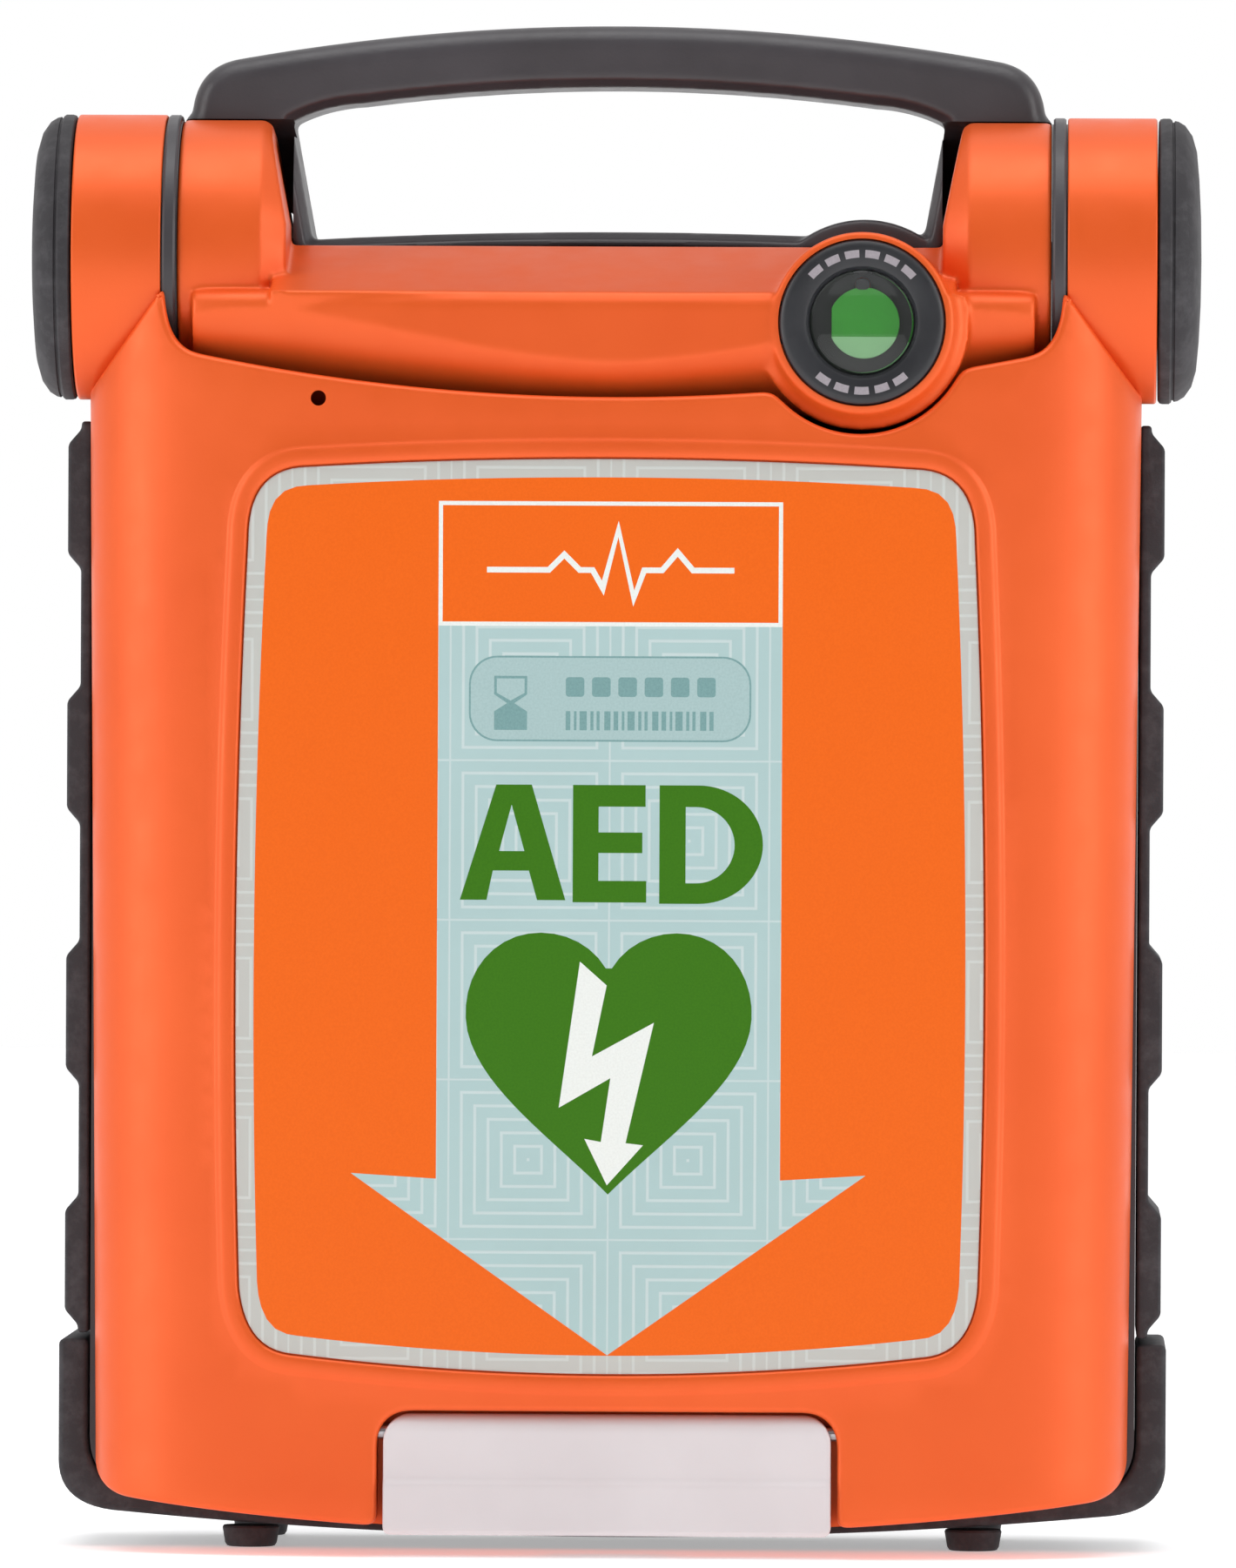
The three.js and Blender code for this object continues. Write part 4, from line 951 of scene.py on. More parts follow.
PULSE = [(-24, 192), (-12, 192), (-9, 195), (-6, 192), (-3.5, 192), (-1.5, 188.5), (1.5, 200), (4.5, 186.5),
         (6.5, 192), (10, 192), (13, 195.5), (16, 192), (24, 192)]


# Stripes of the window's bar row: how wide each is, and how wide the gap after it.
STRIPES = [(0.9, 0.7), (0.5, 0.6), (1.4, 0.7), (0.6, 0.6), (0.6, 0.9), (1.2, 0.6)] * 3 + [(0.8, 0)]
SIGN_LOW_Z, STRIPE_TOP_Z, SIGN_X0 = 160.9, 164.6, -8.6
BLOCK_Z0, BLOCK_Z1, BLOCK_W, BLOCK_PITCH = 167.4, 171.2, 3.6, 5.1


def label_art():
    """The label's printed shapes from the ground up, each with its material."""
    half, line, rim = SHAFT_HALF_W, HEADER_LINE, 0.35
    right = [(HEAD_HALF_W, SHOULDER_Z + 1), (half, SHOULDER_Z), (half, HEADER_Z1)]
    arrow = [(-x, z) for x, z in right[::-1]] + [(0, TIP_Z)] + right
    window = (-WINDOW_HALF_W + rim, WINDOW_HALF_W - rim, WINDOW_Z0 + rim, WINDOW_Z1 - rim)
    art = [
        (grown(resampled(label_outline(), 2.0), -BORDER_W), LABEL_ORANGE),
        (arrow, LABEL_AQUA),
        (rectangle(-half, half, HEADER_Z0, HEADER_Z1), LABEL_WHITE),
        (rectangle(line - half, half - line, HEADER_Z0 + line, HEADER_Z1 - line), LABEL_ORANGE),
        (stroke(PULSE, 1.1), LABEL_WHITE),
        (rounded(-WINDOW_HALF_W, WINDOW_HALF_W, WINDOW_Z0, WINDOW_Z1, 5.5), LABEL_TEAL),
        (rounded(*window, 5.2), LABEL_PANE),
        (LETTER_A, LABEL_GREEN), (LETTER_A_EYE, LABEL_AQUA), (LETTER_E, LABEL_GREEN),
        (LETTER_D, LABEL_GREEN), (LETTER_D_EYE, LABEL_AQUA), (heart(), LABEL_GREEN), (BOLT, LABEL_WHITE),
    ]
    art += hourglass()
    x = SIGN_X0
    for width, gap in STRIPES:
        art.append((rectangle(x, x + width, SIGN_LOW_Z, STRIPE_TOP_Z), LABEL_TEAL))
        x += width + gap
    for i in range(6):
        x = SIGN_X0 + BLOCK_PITCH * i
        art.append((rounded(x, x + BLOCK_W, BLOCK_Z0, BLOCK_Z1, 0.6, 4), LABEL_TEAL))
    return art


def hourglass():
    """A plain hourglass sign, its lower bulb full."""
    x, low, high = -19.3, SIGN_LOW_Z, 171.4
    right = [(3.2, low), (3.2, low + 3.6), (0.7, low + 5.2), (3.2, low + 6.9), (3.2, high)]
    glass = [(x + u, z) for u, z in right] + [(x - u, z) for u, z in right[::-1]]
    upper = [(x - 2.7, high - 0.5), (x - 2.7, low + 7.2), (x, low + 5.7), (x + 2.7, low + 7.2),
             (x + 2.7, high - 0.5)]
    return [(glass, LABEL_TEAL), (upper, LABEL_PANE)]


def on_lid(x, z, lift):
    """Points over (x, z) on the lid's front, lifted off it."""
    return lid_point(girth(x, z), z, lift)


LABEL_INKS = [LABEL_BORDER, LABEL_ORANGE, LABEL_AQUA, LABEL_WHITE, LABEL_PANE, LABEL_TEAL, LABEL_GREEN]


def build_label():
    """The printed label as one plate, each shape's triangles with its own ink."""
    art = label_art()
    edge = resampled(label_outline(), 1.5)
    rim = [(0.0, -0.12), (0.18, -0.03), (0.4, 0.0)]
    loops = [grown(edge, -inset - 0.05) for inset, _ in rim]
    loops += [resampled(shape, 2.5) if len(shape) > 60 else split_long(shape, 4.0) for shape, _ in art]
    places, faces, index = tessellate(loops, grid_points([loops[2]] + loops, 3.0, 6.0, 0.9))
    faces = faces[inside(places[faces].mean(axis=1), loops[0])]
    centres = places[faces].mean(axis=1)
    inks = np.zeros(len(faces), int)
    for shape, material in art:
        inks[inside(centres, shape)] = LABEL_INKS.index(material)
    lift = np.zeros(len(places))
    start = 0
    for loop, (_, height) in zip(loops, rim):
        for i in range(start, start + len(loop)):
            lift[index[i]] = height
        start += len(loop)
    top = on_lid(places[:, 0], places[:, 1], lift)
    under = on_lid(places[:, 0], places[:, 1], -LABEL_SINK + 0.08)
    count = len(places)
    ids = [index[i] for i in range(len(loops[0]))]
    walls = [[a, b, count + b, count + a] for a, b in zip(ids, ids[1:] + ids[:1])]
    mesh = bpy.data.meshes.new("label_visual")
    shapes = [list(face) for face in faces] + [[count + i for i in face[::-1]] for face in faces] + walls
    mesh.from_pydata([tuple(p * MM) for p in np.concatenate([top, under])], [], shapes)
    for material in LABEL_INKS:
        mesh.materials.append(material)
    mesh.polygons.foreach_set("material_index", list(inks) + [0] * (len(faces) + len(walls)))
    work = bmesh.new()
    work.from_mesh(mesh)
    bmesh.ops.delete(work, geom=[v for v in work.verts if not v.link_faces], context="VERTS")
    bmesh.ops.recalc_face_normals(work, faces=work.faces)
    work.to_mesh(mesh)
    work.free()
    obj = bpy.data.objects.new("label_visual", mesh)
    bpy.context.scene.collection.objects.link(obj)
    show(obj, "lid", None, ["label_plate", "date_window"])


# ---------- front housing ----------

HANDLE_Y0, HANDLE_Y1 = -9.3, 19.0
HANDLE_TOP_Z, HANDLE_END_Z, HANDLE_HALF_W = 299.2, 292.4, INNER_X1
OPENING_TOP_X, OPENING_TOP_Z, OPENING_FOOT_X, OPENING_FOOT_Z = 64.2, 280.0, 60.0, 257.0
TRIM_W, TRIM_T = 3.4, 3.0
BAR_HALF_W, BAR_TOP_Z, BAR_LOW_Z, BAR_INSET, BAR_EDGE_R = 82.0, 246.3, 222.5, 1.8, 3.4
BAR_ENDS_TOP_Z = 262.0
LEDGE_HALF_W, LEDGE_TOP_Z, TRAY_TOP_Z = 66.5, 255.7, 249.3
TRAY_FRONT_Y, TRAY_BACK_Y = PARTING_Y - GAP, HANDLE_Y0 - GAP
# The light's boss and collar stay within this distance of the axle, so that the lid clears them.
REACH_R = 47.0
COLLAR_FRONT_Y, COLLAR_BACK_Y, BOSS_R = -43.3, -28.0, 17.6
CHAMBER_R, CHAMBER_BACK_Y, SEAT_Y = 14.3, -34.5, -39.0


def opening(grow, foot):
    """The hand opening: a bowed top, sides that lean in towards the foot, and a bowed foot."""
    top_x, foot_x, foot_level = OPENING_TOP_X + grow, OPENING_FOOT_X + grow, OPENING_FOOT_Z - foot
    path = Outline(-foot_x, foot_level)
    path.bend(0, foot_level + 3.4, foot_x, foot_level, 40).run(top_x, OPENING_TOP_Z, 12)
    path.bend(58, OPENING_TOP_Z + 3.4, 50, OPENING_TOP_Z + 3.8, 12)
    path.bend(0, OPENING_TOP_Z + 10.4, -50, OPENING_TOP_Z + 3.8, 40)
    path.bend(-58, OPENING_TOP_Z + 3.4, -top_x, OPENING_TOP_Z, 12).run(-foot_x, foot_level, 12)
    return path.closed()


def handle_room():
    """The space that the handle's lower loop takes up between the two fixed barrels."""
    room = slab("room", opening(TRIM_W + GAP, TRIM_T + GAP), HANDLE_Y0 - GAP, 100)
    return join(room, slab("front_room", opening(TRIM_W + GAP, -1), -60, HANDLE_Y0))


def lid_swing():
    """The space inside the arc that the lid's top edge sweeps."""
    half, end_r, rise = BAR_HALF_W + 0.5, 31.2, 9.8
    xs = np.linspace(-half, half, 80)
    profile = [(0, -half)] + [(end_r + rise * (1 - abs(x / half) ** 1.6), x) for x in xs] + [(0, half)]
    return turned("swing", profile, "X", AXLE, 160)


def bar():
    """The bowed bar across the front, its top edge rounded."""
    levels = [(BAR_LOW_Z, BAR_INSET)]
    levels += [(BAR_TOP_Z - below, BAR_INSET + inset) for inset, below in rounding(BAR_EDGE_R, 8)]
    rings = [[(x, y, z) for x, y in lid_plan(inset, PARTING_Y - GAP)] for z, inset in levels]
    body = loft("front_housing_visual", rings)
    ends = slab("ends", rounded(-BAR_HALF_W, BAR_HALF_W, BAR_LOW_Z, BAR_ENDS_TOP_Z, 3), FRONT_Y, 0)
    return trim(body, ends, lid_swing())


def fixed_barrel(side):
    """A fixed barrel, coned towards the hand opening."""
    profile = [(0, INNER_X0), (INNER_R - 3.6, INNER_X0), (INNER_R, INNER_X0 + 5.2), (INNER_R, INNER_X1 - 0.5),
               (INNER_R - 0.5, INNER_X1), (0, INNER_X1)]
    return turned("barrel", [(r, side * x) for r, x in profile], "X", AXLE, 180)


def build_front_housing():
    body = bar()
    slope = [(TRAY_FRONT_Y, 223), (-36, 223), (FRONT_Y + 3, BAR_TOP_Z - 0.4), (FRONT_Y + 6, BAR_TOP_Z + 0.6),
             (PARTING_Y - 0.5, LEDGE_TOP_Z), (TRAY_BACK_Y, LEDGE_TOP_Z), (TRAY_BACK_Y, TRAY_TOP_Z),
             (TRAY_FRONT_Y, TRAY_TOP_Z)]
    ledge = beam("ledge", slope, -LEDGE_HALF_W, LEDGE_HALF_W)
    join(body, trim(ledge, lid_swing()), fixed_barrel(1), fixed_barrel(-1))
    profile = [(0, COLLAR_FRONT_Y), (17.0, COLLAR_FRONT_Y), (17.7, -43.0), (18.1, -42.3), (18.8, -41.4),
               (19.8, -40.8), (20.8, -40.5), (20.8, COLLAR_BACK_Y), (0, COLLAR_BACK_Y)]
    collar = turned("collar", profile, "Y", LIGHT)
    trim(collar, block("low", 0, 100, -60, 0, 200, BAR_TOP_Z - 0.5))
    trim(collar, rod("reach", "X", REACH_R, 0, 100, AXLE, 160))
    boss = rounded_rod("boss", "Y", BOSS_R, COLLAR_FRONT_Y, TRAY_BACK_Y, 0.8, LIGHT)
    cut(boss, block("tray_room", 0, 100, TRAY_FRONT_Y, 0, 200, TRAY_TOP_Z))
    trim(boss, rod("reach", "X", REACH_R, 0, 100, AXLE, 160))
    join(body, boss, collar)
    cut(body, handle_room())
    soften(body, 0.5, 7)
    cut(body, rod("seat", "Y", BEZEL_R + GAP, FRONT_Y - 5, SEAT_Y, LIGHT, 96))
    cut(body, rod("chamber", "Y", CHAMBER_R, SEAT_Y - 1, CHAMBER_BACK_Y, LIGHT, 96))
    arbor = (LIGHT_X, 0, span("indicator_flag")[1][2] - ARBOR_DROP)
    cut(body, rod("arbor_hole", "Y", 1.4, -36, -20, arbor, 32))
    cut(body, rod("pin_bore", "X", PIN_R + 0.1, -100, 100, AXLE))
    show(body, "base", [ORANGE, DARK], ["front_housing"])
    for face in body.data.polygons:
        x, y, z = (v / MM for v in face.center)
        if math.hypot(x - LIGHT_X, z - LIGHT_Z) < 15 and SEAT_Y - 1.2 < y < -30:
            face.material_index = 1


# ---------- carry handle ----------

def flared_opening():
    """The hand opening as a tool, wider at its front and back mouths."""
    flare, depth = 1.7, 3.2
    front = [(HANDLE_Y0 - 2, flare * 1.5), (HANDLE_Y0, flare), (HANDLE_Y0 + depth, 0)]
    levels = front + [(HANDLE_Y0 + HANDLE_Y1 - y, grow) for y, grow in front[::-1]]
    return loft("opening", [[(u, y, v) for u, v in grown(opening(0, 0), grow)] for y, grow in levels])


def handle_arch():
    """The handle's outer edge: short upright ends, tight shoulders and a long bow over the top."""
    foot, shoulder = HANDLE_HALF_W, 282
    path = Outline(-foot, 262)
    path.line(-foot, 280.4).line(-foot + 1.4, shoulder)
    path.bend(-83, 290.8, -75, HANDLE_END_Z).bend(0, 2 * HANDLE_TOP_Z - HANDLE_END_Z, 75, HANDLE_END_Z, 60)
    path.bend(83, 290.8, foot - 1.4, shoulder).line(foot, 280.4).line(foot, 262)
    return path.closed()


def barrel_room():
    """The space that the right-hand barrels take up."""
    room = rod("room", "X", INNER_R + GAP, INNER_X0 - GAP, INNER_X1 + 1, AXLE, 160)
    return join(room, rod("room_out", "X", OUTER_R + 1, INNER_X1 + GAP, 120, AXLE, 160))


def build_handle():
    body = rounded_slab("carry_handle_visual", handle_arch(), HANDLE_Y0, HANDLE_Y1, 4.2)
    join(body, slab("loop", opening(TRIM_W, TRIM_T), HANDLE_Y0, HANDLE_Y1))
    cut(body, flared_opening())
    hump = rounded_rod("hump", "Y", 21, HANDLE_Y0, HANDLE_Y1, 1.2, LIGHT)
    join(body, trim(hump, block("hump_box", 0, 100, -50, 50, 255, 270)))
    cut(body, block("below", -100, 100, -50, 50, 200, BRIDGE_TOP_Z + GAP))
    soften(body, 0.6, 4)
    for x0, x1 in both_sides(TOWER_X0 - GAP, 95):
        cut(body, slab("tower_room", rounded(x0, x1, 200, TOWER_TOP_Z + GAP, 6), -50, 60))
    room = barrel_room()
    cut(body, mirrored(room), room)
    show(body, "base", [CHARCOAL], ["carry_handle"])


# ---------- caps, rings, feet ----------

def cap_profile():
    """An end cap: a flange, a groove and a flat dome, measured in from the rim and out from the foot."""
    foot, tip = OUTER_X1 + GAP, span("end_cap_right")[1][0]
    flange = [(0.7, 0), (0.15, 0.35), (0, 0.9), (0, 2.2), (0.3, 2.6), (0.75, 2.75), (0.75, 3.0), (0.45, 3.2)]
    dome = [(0.6, 3.9), (1.4, 5.2), (3.4, 6.6), (6.5, 7.5), (12, tip - foot - 0.5), (19, tip - foot - 0.15)]
    return [(0, foot)] + [(OUTER_R - inset, foot + out) for inset, out in flange + dome] + [(0, tip)]


def ring_profile():
    """A hinge ring, with a low collar on each side that closes the view between the barrels."""
    x0, x1, lip, r, bore = RING_LOW[0], RING_HIGH[0], 0.27, OUTER_R, PIN_R + 1
    half = [(bore, x0 - lip), (r - 1.2, x0 - lip), (r - 1.2, x0), (r - 0.3, x0), (r, x0 + 0.4)]
    return half + [(radius, x0 + x1 - x) for radius, x in half[::-1]] + half[:1]


def build_barrel_ends():
    for name, sign in (("right", 1), ("left", -1)):
        cap = [(r, sign * x) for r, x in cap_profile()]
        piece = turned(f"end_cap_{name}_visual", cap, "X", AXLE, 160)
        show(piece, "lid", [RUBBER], [f"end_cap_{name}"], 25)
        ring = [(r, sign * x) for r, x in ring_profile()]
        piece = turned(f"hinge_ring_{name}_visual", ring, "X", AXLE, 160)
        show(piece, "base", [CHARCOAL], [f"hinge_ring_{name}"])


def build_feet():
    low, high = span("foot_front_left")
    height = high[2] - low[2]
    foot = [(0, 0), (3.2, 0), (3.4, 0.5), (4.2, 0.5), (4.4, 0), (4.7, 0.1), (5.1, 0.7), (5.6, height - 0.4),
            (5.4, height), (0, height)]
    for end in ("front", "rear"):
        for side in ("left", "right"):
            low, high = span(f"foot_{end}_{side}")
            centre = ((low[0] + high[0]) / 2, (low[1] + high[1]) / 2, low[2])
            piece = turned(f"foot_{end}_{side}_visual", foot, "Z", centre, 64)
            show(piece, "base", [RUBBER], [f"foot_{end}_{side}"])


# ---------- indicator ----------

def arc_mark(radius, width, start, end, y, thickness=0.25):
    """A short raised dash on the indicator's ring."""
    outer, inner = radius + width / 2, radius - width / 2
    path = arc_points(LIGHT_X, LIGHT_Z, outer, outer, start, end, 8)
    path += arc_points(LIGHT_X, LIGHT_Z, inner, inner, end, start, 8)
    return painted(slab("mark", path, y, y + thickness), RING_MARK)


def build_indicator():
    low, high = span("indicator_lens")
    lens_r = (high[0] - low[0]) / 2
    y0, y1, r, bore = BEZEL_LOW[1], BEZEL_HIGH[1], BEZEL_R, lens_r + GAP
    ring = [(bore, y1), (r, y1), (r, y0 + 1.1), (r - 0.25, y0 + 0.5), (r - 0.8, y0 + 0.12), (r - 1.4, y0),
            (bore + 1.3, y0 + 0.12), (bore + 0.6, y0 + 0.45), (bore, y0 + 1.4), (bore, y1)]
    body = painted(turned("ring", ring, "Y", LIGHT, 160), DARK)
    marks, pitch, length = [], 17, 12
    for middle, count in ((90, 6), (-90, 5)):
        for i in range(count):
            start = middle + pitch * (i - count / 2) + (pitch - length) / 2
            marks.append(arc_mark(13.3, 1.5, start, start + length, y0 + 0.02))
    piece = merged("indicator_bezel_visual", [body] + marks)
    show(piece, "base", None, ["indicator_bezel"], 25)
    front, sag, steps = low[1], 0.9, 12
    dome = [(lens_r * i / steps, front + sag * (i / steps) ** 2) for i in range(steps)]
    dome += [(lens_r - 0.3, front + 0.8), (lens_r, front + 1.2), (lens_r, high[1]), (0, high[1])]
    lens = turned("indicator_lens_visual", dome, "Y", LIGHT)
    show(lens, "base", [LENS_CLEAR], ["indicator_lens"])


def build_flag():
    """The flag: a green disc, flat at its left, with a pale band across its foot, on a swinging arm."""
    low, high = span("indicator_flag")
    front, pivot_z = low[1], high[2] - ARBOR_DROP
    disc = circle(LIGHT_X + 0.3, LIGHT_Z, 6.6, 96)
    flat, band_z = LIGHT_X - 5.7, LIGHT_Z - 2.6
    parts = []
    # Both parts of the disc use the faintly glowing flag materials: painted light in place of what comes
    # through the lens.
    for z0, z1, material in ((band_z, LIGHT_Z + 10, FLAG_GREEN_GLOW), (LIGHT_Z - 10, band_z, FLAG_BAND_GLOW)):
        part = slab("part", disc, front, front + 1.2)
        trim(part, block("keep", flat, LIGHT_X + 12, front - 1, front + 3, z0, z1))
        parts.append(painted(part, material))
    arm = rounded(LIGHT_X - 1.3, LIGHT_X + 1.3, LIGHT_Z + 6.2, high[2], 0.8)
    stem = slab("stem", arm, front - 0.05, front + 1.2)
    arbor = rod("arbor", "Y", 1.0, front + 0.8, high[1], (LIGHT_X, 0, pivot_z), 32)
    piece = merged("indicator_flag_visual", parts + [painted(stem, DARK), painted(arbor, DARK)])
    show(piece, "indicator_flag", None, ["indicator_flag"])


# ---------- latch ----------

def build_latch():
    front, back = LATCH_PIN_Y - LATCH_END_R, LATCH_PIN_Y + LATCH_END_R
    foot, step_z = LATCH_LOW[2], 14.1
    path = Outline(back, LATCH_PIN_Z).arc(LATCH_PIN_Y, LATCH_PIN_Z, LATCH_END_R, LATCH_END_R, 0, 180, 24)
    path.line(front + 0.1, step_z + 1.2).line(front - 0.85, step_z + 0.1).line(front - 0.9, foot + 1)
    path.line(front, foot).line(back - 1, foot).line(back, foot + 1)
    lever = beam("latch_lever_visual", path.closed(), -LATCH_HALF_W, LATCH_HALF_W)
    top, w, r, small = LATCH_PIN_Z + LATCH_END_R, LATCH_HALF_W, 5.5, 1.5
    face = Outline(small - w, foot).arc(w - small, foot + small, small, small, -90, 0, 6)
    face.arc(w - r, top - r, r, r, 0, 90).arc(r - w, top - r, r, r, 90, 180)
    face.arc(small - w, foot + small, small, small, 180, 270, 6)
    trim(lever, slab("face", face.closed(), -50, -30))
    soften(lever, 0.42, 4)
    join(lever, block("finger", -10, 10, LATCH_PIN_Y, LATCH_HIGH[1], 8.1, 9.3))
    cut(lever, rod("pin_bore", "X", LATCH_PIN_R + GAP, -50, 50, LATCH_PIN))
    cut(lever, block("spring_notch", 15, 25, LATCH_PIN_Y - 2.3, -30, LATCH_PIN_Z - 5, LATCH_PIN_Z + 2.3))
    show(lever, "latch", [PALE], ["latch_lever"])


# ---------- grips and bumper ----------

GRIP_PADS = [(43.5, 69), (91, 119), (142, 169), (192, 219.5)]
GRIP_LOW_Z, GRIP_TOP_Z, GRIP_BACK_Y = 42, 221, 34
BUMPER_HALF_W, BUMPER_TOP_Z, BUMPER_BACK_Y = 108.7, 40.8, 38


def build_grips():
    """Ribbed side grips: raised pads, with grooves across the low stretches between them."""
    inner, low, high, ramp = HOUSING_HALF_W + GAP, 105.0, 107.6, 3.0
    path = Outline(inner, GRIP_LOW_Z).line(low, GRIP_LOW_Z)
    for z0, z1 in GRIP_PADS:
        path.line(low, z0).line(high, z0 + ramp).line(high, z1 - ramp).line(low, z1)
    path.line(low, GRIP_TOP_Z).line(inner, GRIP_TOP_Z)
    right = slab("side_grip_right_visual", path.closed(), PARTING_Y + GAP, GRIP_BACK_Y)
    bevel(right, 0.7, 4, 20)
    for (_, z0), (z1, _) in zip(GRIP_PADS, GRIP_PADS[1:]):
        for i in range(4):
            z = z0 + (z1 - z0) * (i + 1) / 5
            cut(right, block("groove", low - 0.5, low + 1, PARTING_Y + 3, GRIP_BACK_Y - 3, z - 0.7, z + 0.7))
    left = mirrored(right, "side_grip_left_visual")
    for piece, name in ((right, "side_grip_right"), (left, "side_grip_left")):
        show(piece, "base", [RUBBER], [name])


def bumper_outline():
    """A U that wraps the housing's foot and lower sides."""
    w, top, inner = BUMPER_HALF_W, BUMPER_TOP_Z, HOUSING_HALF_W + GAP
    path = Outline(-w, top).line(-w, 17).bend(-w, 7.6, -96, 6.9, 12)
    path.bend(0, -2.1, 96, 6.9, 60).bend(w, 7.6, w, 17, 12)
    path.line(w, top).line(inner, top).line(inner, 22).bend(inner, 11.7, 92, 10.9, 12)
    path.bend(0, 1.9, -92, 10.9, 60).bend(-inner, 11.7, -inner, 22, 12).line(-inner, top)
    return path.closed()


def build_bumper():
    body = slab("bottom_bumper_visual", bumper_outline(), PARTING_Y + GAP, BUMPER_BACK_Y)
    bevel(body, 1.2, 4, 50)
    for x0, x1 in both_sides(BUMPER_HALF_W - 0.6, BUMPER_HALF_W + 3):
        for i in range(5):
            cut(body, block("groove", x0, x1, -6 + 8 * i, -3 + 8 * i, 14, 37))
    show(body, "base", [RUBBER], ["bottom_bumper"])


# ---------- rear housing ----------

def housing_outline(inset):
    """Bowed foot, upright sides and round shoulders."""
    w, top, r, foot = HOUSING_HALF_W - inset, HOUSING_TOP_Z - inset, 9, 11.2 + inset
    path = Outline(-92, foot).bend(0, foot - 9, 92, foot, 60)
    path.bend(w, foot + 0.8, w, foot + 10.8, 12).arc(w - r, top - r, r, r, 0, 90)
    path.arc(r - w, top - r, r, r, 90, 180).line(-w, foot + 10.8).bend(-w, foot + 0.8, -92, foot, 12)
    return path.closed()


CAVITY_TOP_Z, UPPER_ROOM_HALF_W = 221.0, 58.0
SCREW_X, SCREW_LOW_Z, SCREW_HIGH_Z = 88, 34, 206
GROOVE_COUNT, GROOVE_LOW_Z, GROOVE_PITCH, GROOVE_W = 9, 128, 8, 2.4


def battery_pocket(grow, back):
    low, high = span("battery_pack")
    x0, x1, z0, z1 = low[0] - grow, high[0] + grow, low[2] - grow, high[2] + grow
    return block("pocket", x0, x1, low[1] - grow, back, z0, z1)


def build_rear_housing():
    """The tray behind the lid, with the towers behind the barrels and the battery's pocket."""
    front, inside_y = PARTING_Y + GAP, BACK_Y - WALL
    body = rounded_slab("rear_housing_visual", housing_outline(0), front - 8, BACK_Y, 6)
    trim(body, block("keep", -200, 200, front, 100, -10, 400))
    bridge = rounded(-TOWER_X1, TOWER_X1, 200, BRIDGE_TOP_Z, 5)
    join(body, rounded_slab("bridge", bridge, front, BACK_Y - 3, 2))
    for x0, x1 in both_sides(TOWER_X0, TOWER_X1):
        join(body, rounded_slab("tower", rounded(x0, x1, 200, TOWER_TOP_Z, 6), front, BACK_Y - 6, 3))
    rooms = zip(both_sides(INNER_X0 - 0.4, INNER_X1 + 0.2), both_sides(INNER_X1 + 0.1, 120))
    for inner, outer in rooms:
        cut(body, rod("inner_room", "X", INNER_R + 0.35, *inner, AXLE, 144))
        cut(body, rod("outer_room", "X", OUTER_R + 1.05, *outer, AXLE, 144))
    room = slab("room", housing_outline(WALL), front - 2, inside_y)
    cut(body, trim(room, block("low", -200, 200, -50, 100, 0, CAVITY_TOP_Z)))
    half, z0, z1 = UPPER_ROOM_HALF_W, CAVITY_TOP_Z - 2, BRIDGE_TOP_Z - WALL
    cut(body, block("upper_room", -half, half, front - 2, inside_y - 4, z0, z1))
    join(body, battery_pocket(2 + GAP, BACK_Y - 1))
    cut(body, battery_pocket(GAP, BACK_Y + 2))
    seat = LEDGE_HALF_W - 0.5
    cut(body, block("ledge_seat", -seat, seat, front - 2, HANDLE_Y0, TRAY_TOP_Z - GAP, 260))
    hole = [(0, 20), (2.3, 20), (2.3, BACK_Y - 2.4), (4.6, BACK_Y - 2.4), (4.6, BACK_Y - 0.6),
            (5.2, BACK_Y + 1), (0, BACK_Y + 1)]
    for x in (-SCREW_X, SCREW_X):
        for z in (SCREW_LOW_Z, SCREW_HIGH_Z):
            cut(body, turned("screw_hole", hole, "Y", (x, 0, z), 48))
    for i in range(GROOVE_COUNT):
        z = GROOVE_LOW_Z + GROOVE_PITCH * i
        groove = rounded(-half, half, z, z + GROOVE_W, GROOVE_W / 2, 6)
        cut(body, slab("groove", groove, BACK_Y - 0.9, BACK_Y + 1))
    show(body, "base", [CHARCOAL], ["rear_housing"])


def build_rear_screws():
    for level in ("lower", "upper"):
        for side in ("left", "right"):
            name = f"rear_screw_{level}_{side}"
            low, high = span(name)
            x, z, top = (low[0] + high[0]) / 2, (low[2] + high[2]) / 2, high[1]
            profile = [(0, low[1]), (1.5, low[1]), (1.9, low[1] + 0.6), (1.9, top - 2), (4.0, top - 2),
                       (4.2, top - 1.7), (4.2, top - 0.7), (3.7, top - 0.1), (3.0, top), (0, top)]
            screw = turned(name + "_visual", profile, "Y", (x, 0, z), 64)
            cut(screw, block("slot", x - 2.4, x + 2.4, top - 1.2, top + 1, z - 0.45, z + 0.45))
            cut(screw, block("slot", x - 0.45, x + 0.45, top - 1.2, top + 1, z - 2.4, z + 2.4))
            show(screw, "base", [BLACK_STEEL], [name])


# ---------- what the lid covers ----------

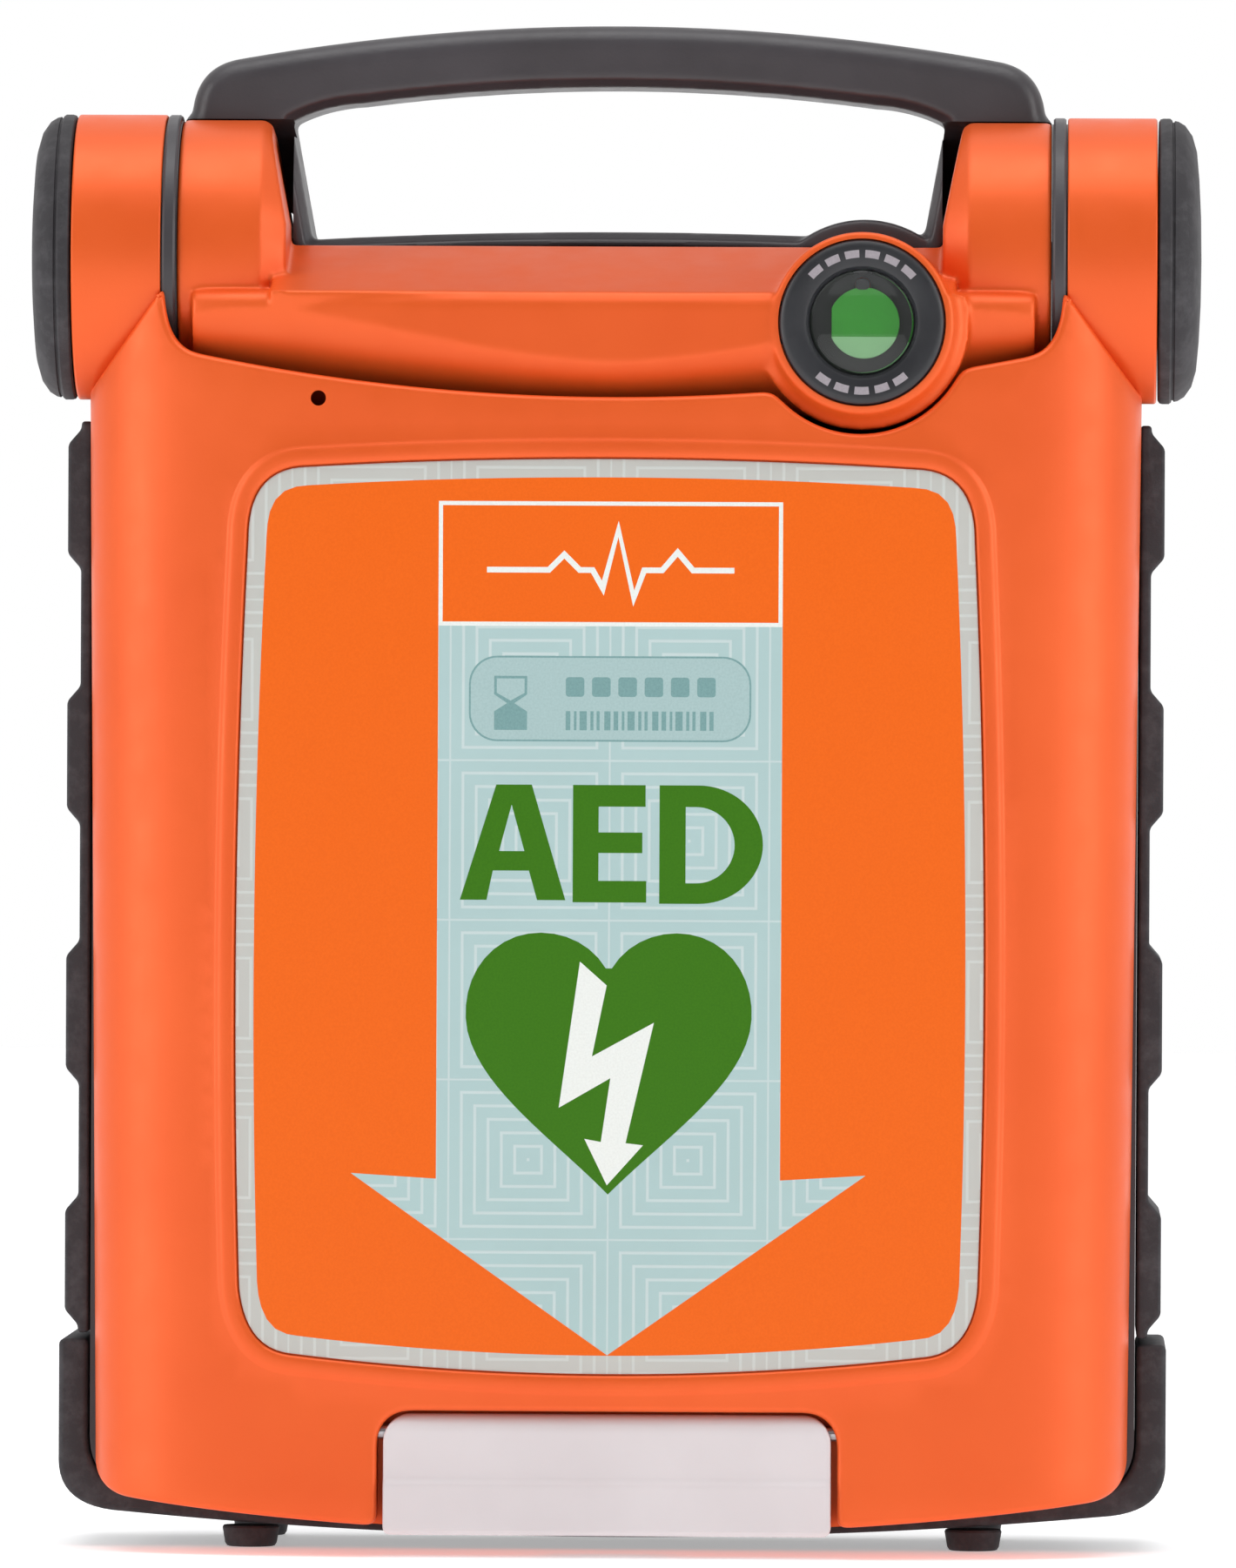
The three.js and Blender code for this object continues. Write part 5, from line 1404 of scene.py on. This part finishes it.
def build_pouch():
    """The sealed electrode pouch: a crowned foil pillow with a flat crimped seam all round."""
    low, high = span("pads_pouch")
    mid = [(a + b) / 2 for a, b in zip(low, high)]
    half_u, half_v, half_t = (high[0] - low[0]) / 2, (high[2] - low[2]) / 2, (high[1] - low[1]) / 2
    seam, seam_t, count = 7.0, 0.5, 96
    wrinkle = np.random.default_rng(4)
    waves = [(wrinkle.uniform(2, 9), wrinkle.uniform(2, 9), wrinkle.uniform(0, 6.3)) for _ in range(7)]
    points, faces = [], []
    for side in (-1, 1):
        for j in range(count + 1):
            for i in range(count + 1):
                u, v = 2 * i / count - 1, 2 * j / count - 1
                u, v = math.sin(u * math.pi / 2), math.sin(v * math.pi / 2)
                inner_u, inner_v = abs(u) * half_u / (half_u - seam), abs(v) * half_v / (half_v - seam)
                room = max(0.0, 1 - inner_u ** 4) * max(0.0, 1 - inner_v ** 4)
                fold = sum(math.sin(a * u * 3 + b * v * 3 + c) for a, b, c in waves) / len(waves)
                pull = 1 - 0.012 * (1 - u * u) * abs(v) ** 8 - 0.012 * (1 - v * v) * abs(u) ** 8
                thick = seam_t + (half_t - seam_t) * room ** 0.45 * (0.9 + 0.1 * fold)
                points.append((mid[0] + u * half_u * pull, mid[1] + side * thick, mid[2] + v * half_v * pull))
    row = count + 1
    for layer in (0, row * row):
        for j in range(count):
            for i in range(count):
                a = layer + j * row + i
                faces.append([a, a + 1, a + row + 1, a + row])
    rim = list(range(count)) + [i * row + count for i in range(count)]
    rim += [count * row + count - i for i in range(count)] + [(count - i) * row for i in range(count)]
    for a, b in zip(rim, rim[1:] + rim[:1]):
        faces.append([a, b, b + row * row, a + row * row])
    piece = make("pads_pouch_visual", points, faces)
    show(piece, "base", [FOIL], ["pads_pouch"], 60)


CAD_FINISHES = {
    CHARCOAL: ["control_deck", "lid_liner"],
    RUBBER: ["deck_gasket"],
    LENS_CLEAR: ["display_window"],
    PALE: ["language_button", "pads_socket", "battery_release", "hinge_bush_left", "hinge_bush_right"],
    DARK: ["display_module", "shock_switch", "speaker_grille", "speaker", "hv_capacitor",
           "charging_transformer", "switching_module", "lid_sensor", "battery_pack", "indicator_coil"],
    RED: ["shock_button"],
    STEEL: ["hinge_pin_left", "hinge_pin_right", "latch_pin", "latch_spring", "latch_keeper", "lid_magnet",
            "battery_contacts", "latch_screw_left", "latch_screw_right"],
    BOARD: ["main_board"],
}


def finish_cad_pieces():
    for material, names in CAD_FINISHES.items():
        for name in names:
            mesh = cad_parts[name].data
            mesh.materials.clear()
            mesh.materials.append(material)


build_lid()
build_label()
build_front_housing()
build_handle()
build_barrel_ends()
build_feet()
build_indicator()
build_flag()
build_latch()
build_grips()
build_bumper()
build_rear_housing()
build_rear_screws()
build_pouch()
finish_cad_pieces()


# ---------- floor and light ----------

FLOOR_Z, FLOOR_R = -0.02, 4000
# How bright the studio is, from behind the camera to behind the object.
STUDIO_FROM, STUDIO_TO, STUDIO_DIM, STUDIO_BRIGHT = -0.4, 0.6, 0.32, 1.0
BANK_X, BANK_SIZE, BANK_POWER = 1.5, (0.5, 1.4), 10


def add_floor():
    floor = turned("floor", [(0, FLOOR_Z), (FLOOR_R, FLOOR_Z)], "Z", (0, 0, 0), 96)
    paint = Paint("floor_pale", 0.65, Emission_Color=(1, 1, 1, 1), Emission_Strength=0.37)
    paint.colour(paint.mix(paint.noise(3), srgb(246, 246, 247), srgb(250, 250, 251)))
    paint.bump(paint.noise(300), 0.01)
    floor.data.materials.append(paint.material)


def add_light(name, place, size, power, target=(0, 0, 0.15)):
    data = bpy.data.lights.new(name, "AREA")
    data.shape = "RECTANGLE"
    data.size, data.size_y = size
    data.energy = power
    light = bpy.data.objects.new(name, data)
    bpy.context.scene.collection.objects.link(light)
    light.location = place
    light.rotation_euler = (Vector(target) - Vector(place)).to_track_quat("-Z", "Y").to_euler()


def add_lights():
    world = bpy.data.worlds.new("studio")
    world.use_nodes = True
    nodes, links = world.node_tree.nodes, world.node_tree.links
    direction = nodes.new("ShaderNodeSeparateXYZ")
    links.new(nodes.new("ShaderNodeTexCoord").outputs["Generated"], direction.inputs[0])
    depth = nodes.new("ShaderNodeMapRange")
    for index, number in enumerate((STUDIO_FROM, STUDIO_TO, STUDIO_DIM, STUDIO_BRIGHT), start=1):
        depth.inputs[index].default_value = number
    links.new(direction.outputs["Y"], depth.inputs[0])
    links.new(depth.outputs[0], nodes["Background"].inputs["Strength"])
    nodes["Background"].inputs["Color"].default_value = (1, 1, 1, 1)
    bpy.context.scene.world = world
    for name, x in (("left_bank", -BANK_X), ("right_bank", BANK_X)):
        add_light(name, (x, -0.7, 0.5), BANK_SIZE, BANK_POWER)
    add_light("overhead", (0, -0.3, 1.6), (1.6, 0.9), 13)
    bpy.context.scene.view_settings.view_transform = "Standard"


add_floor()
add_lights()
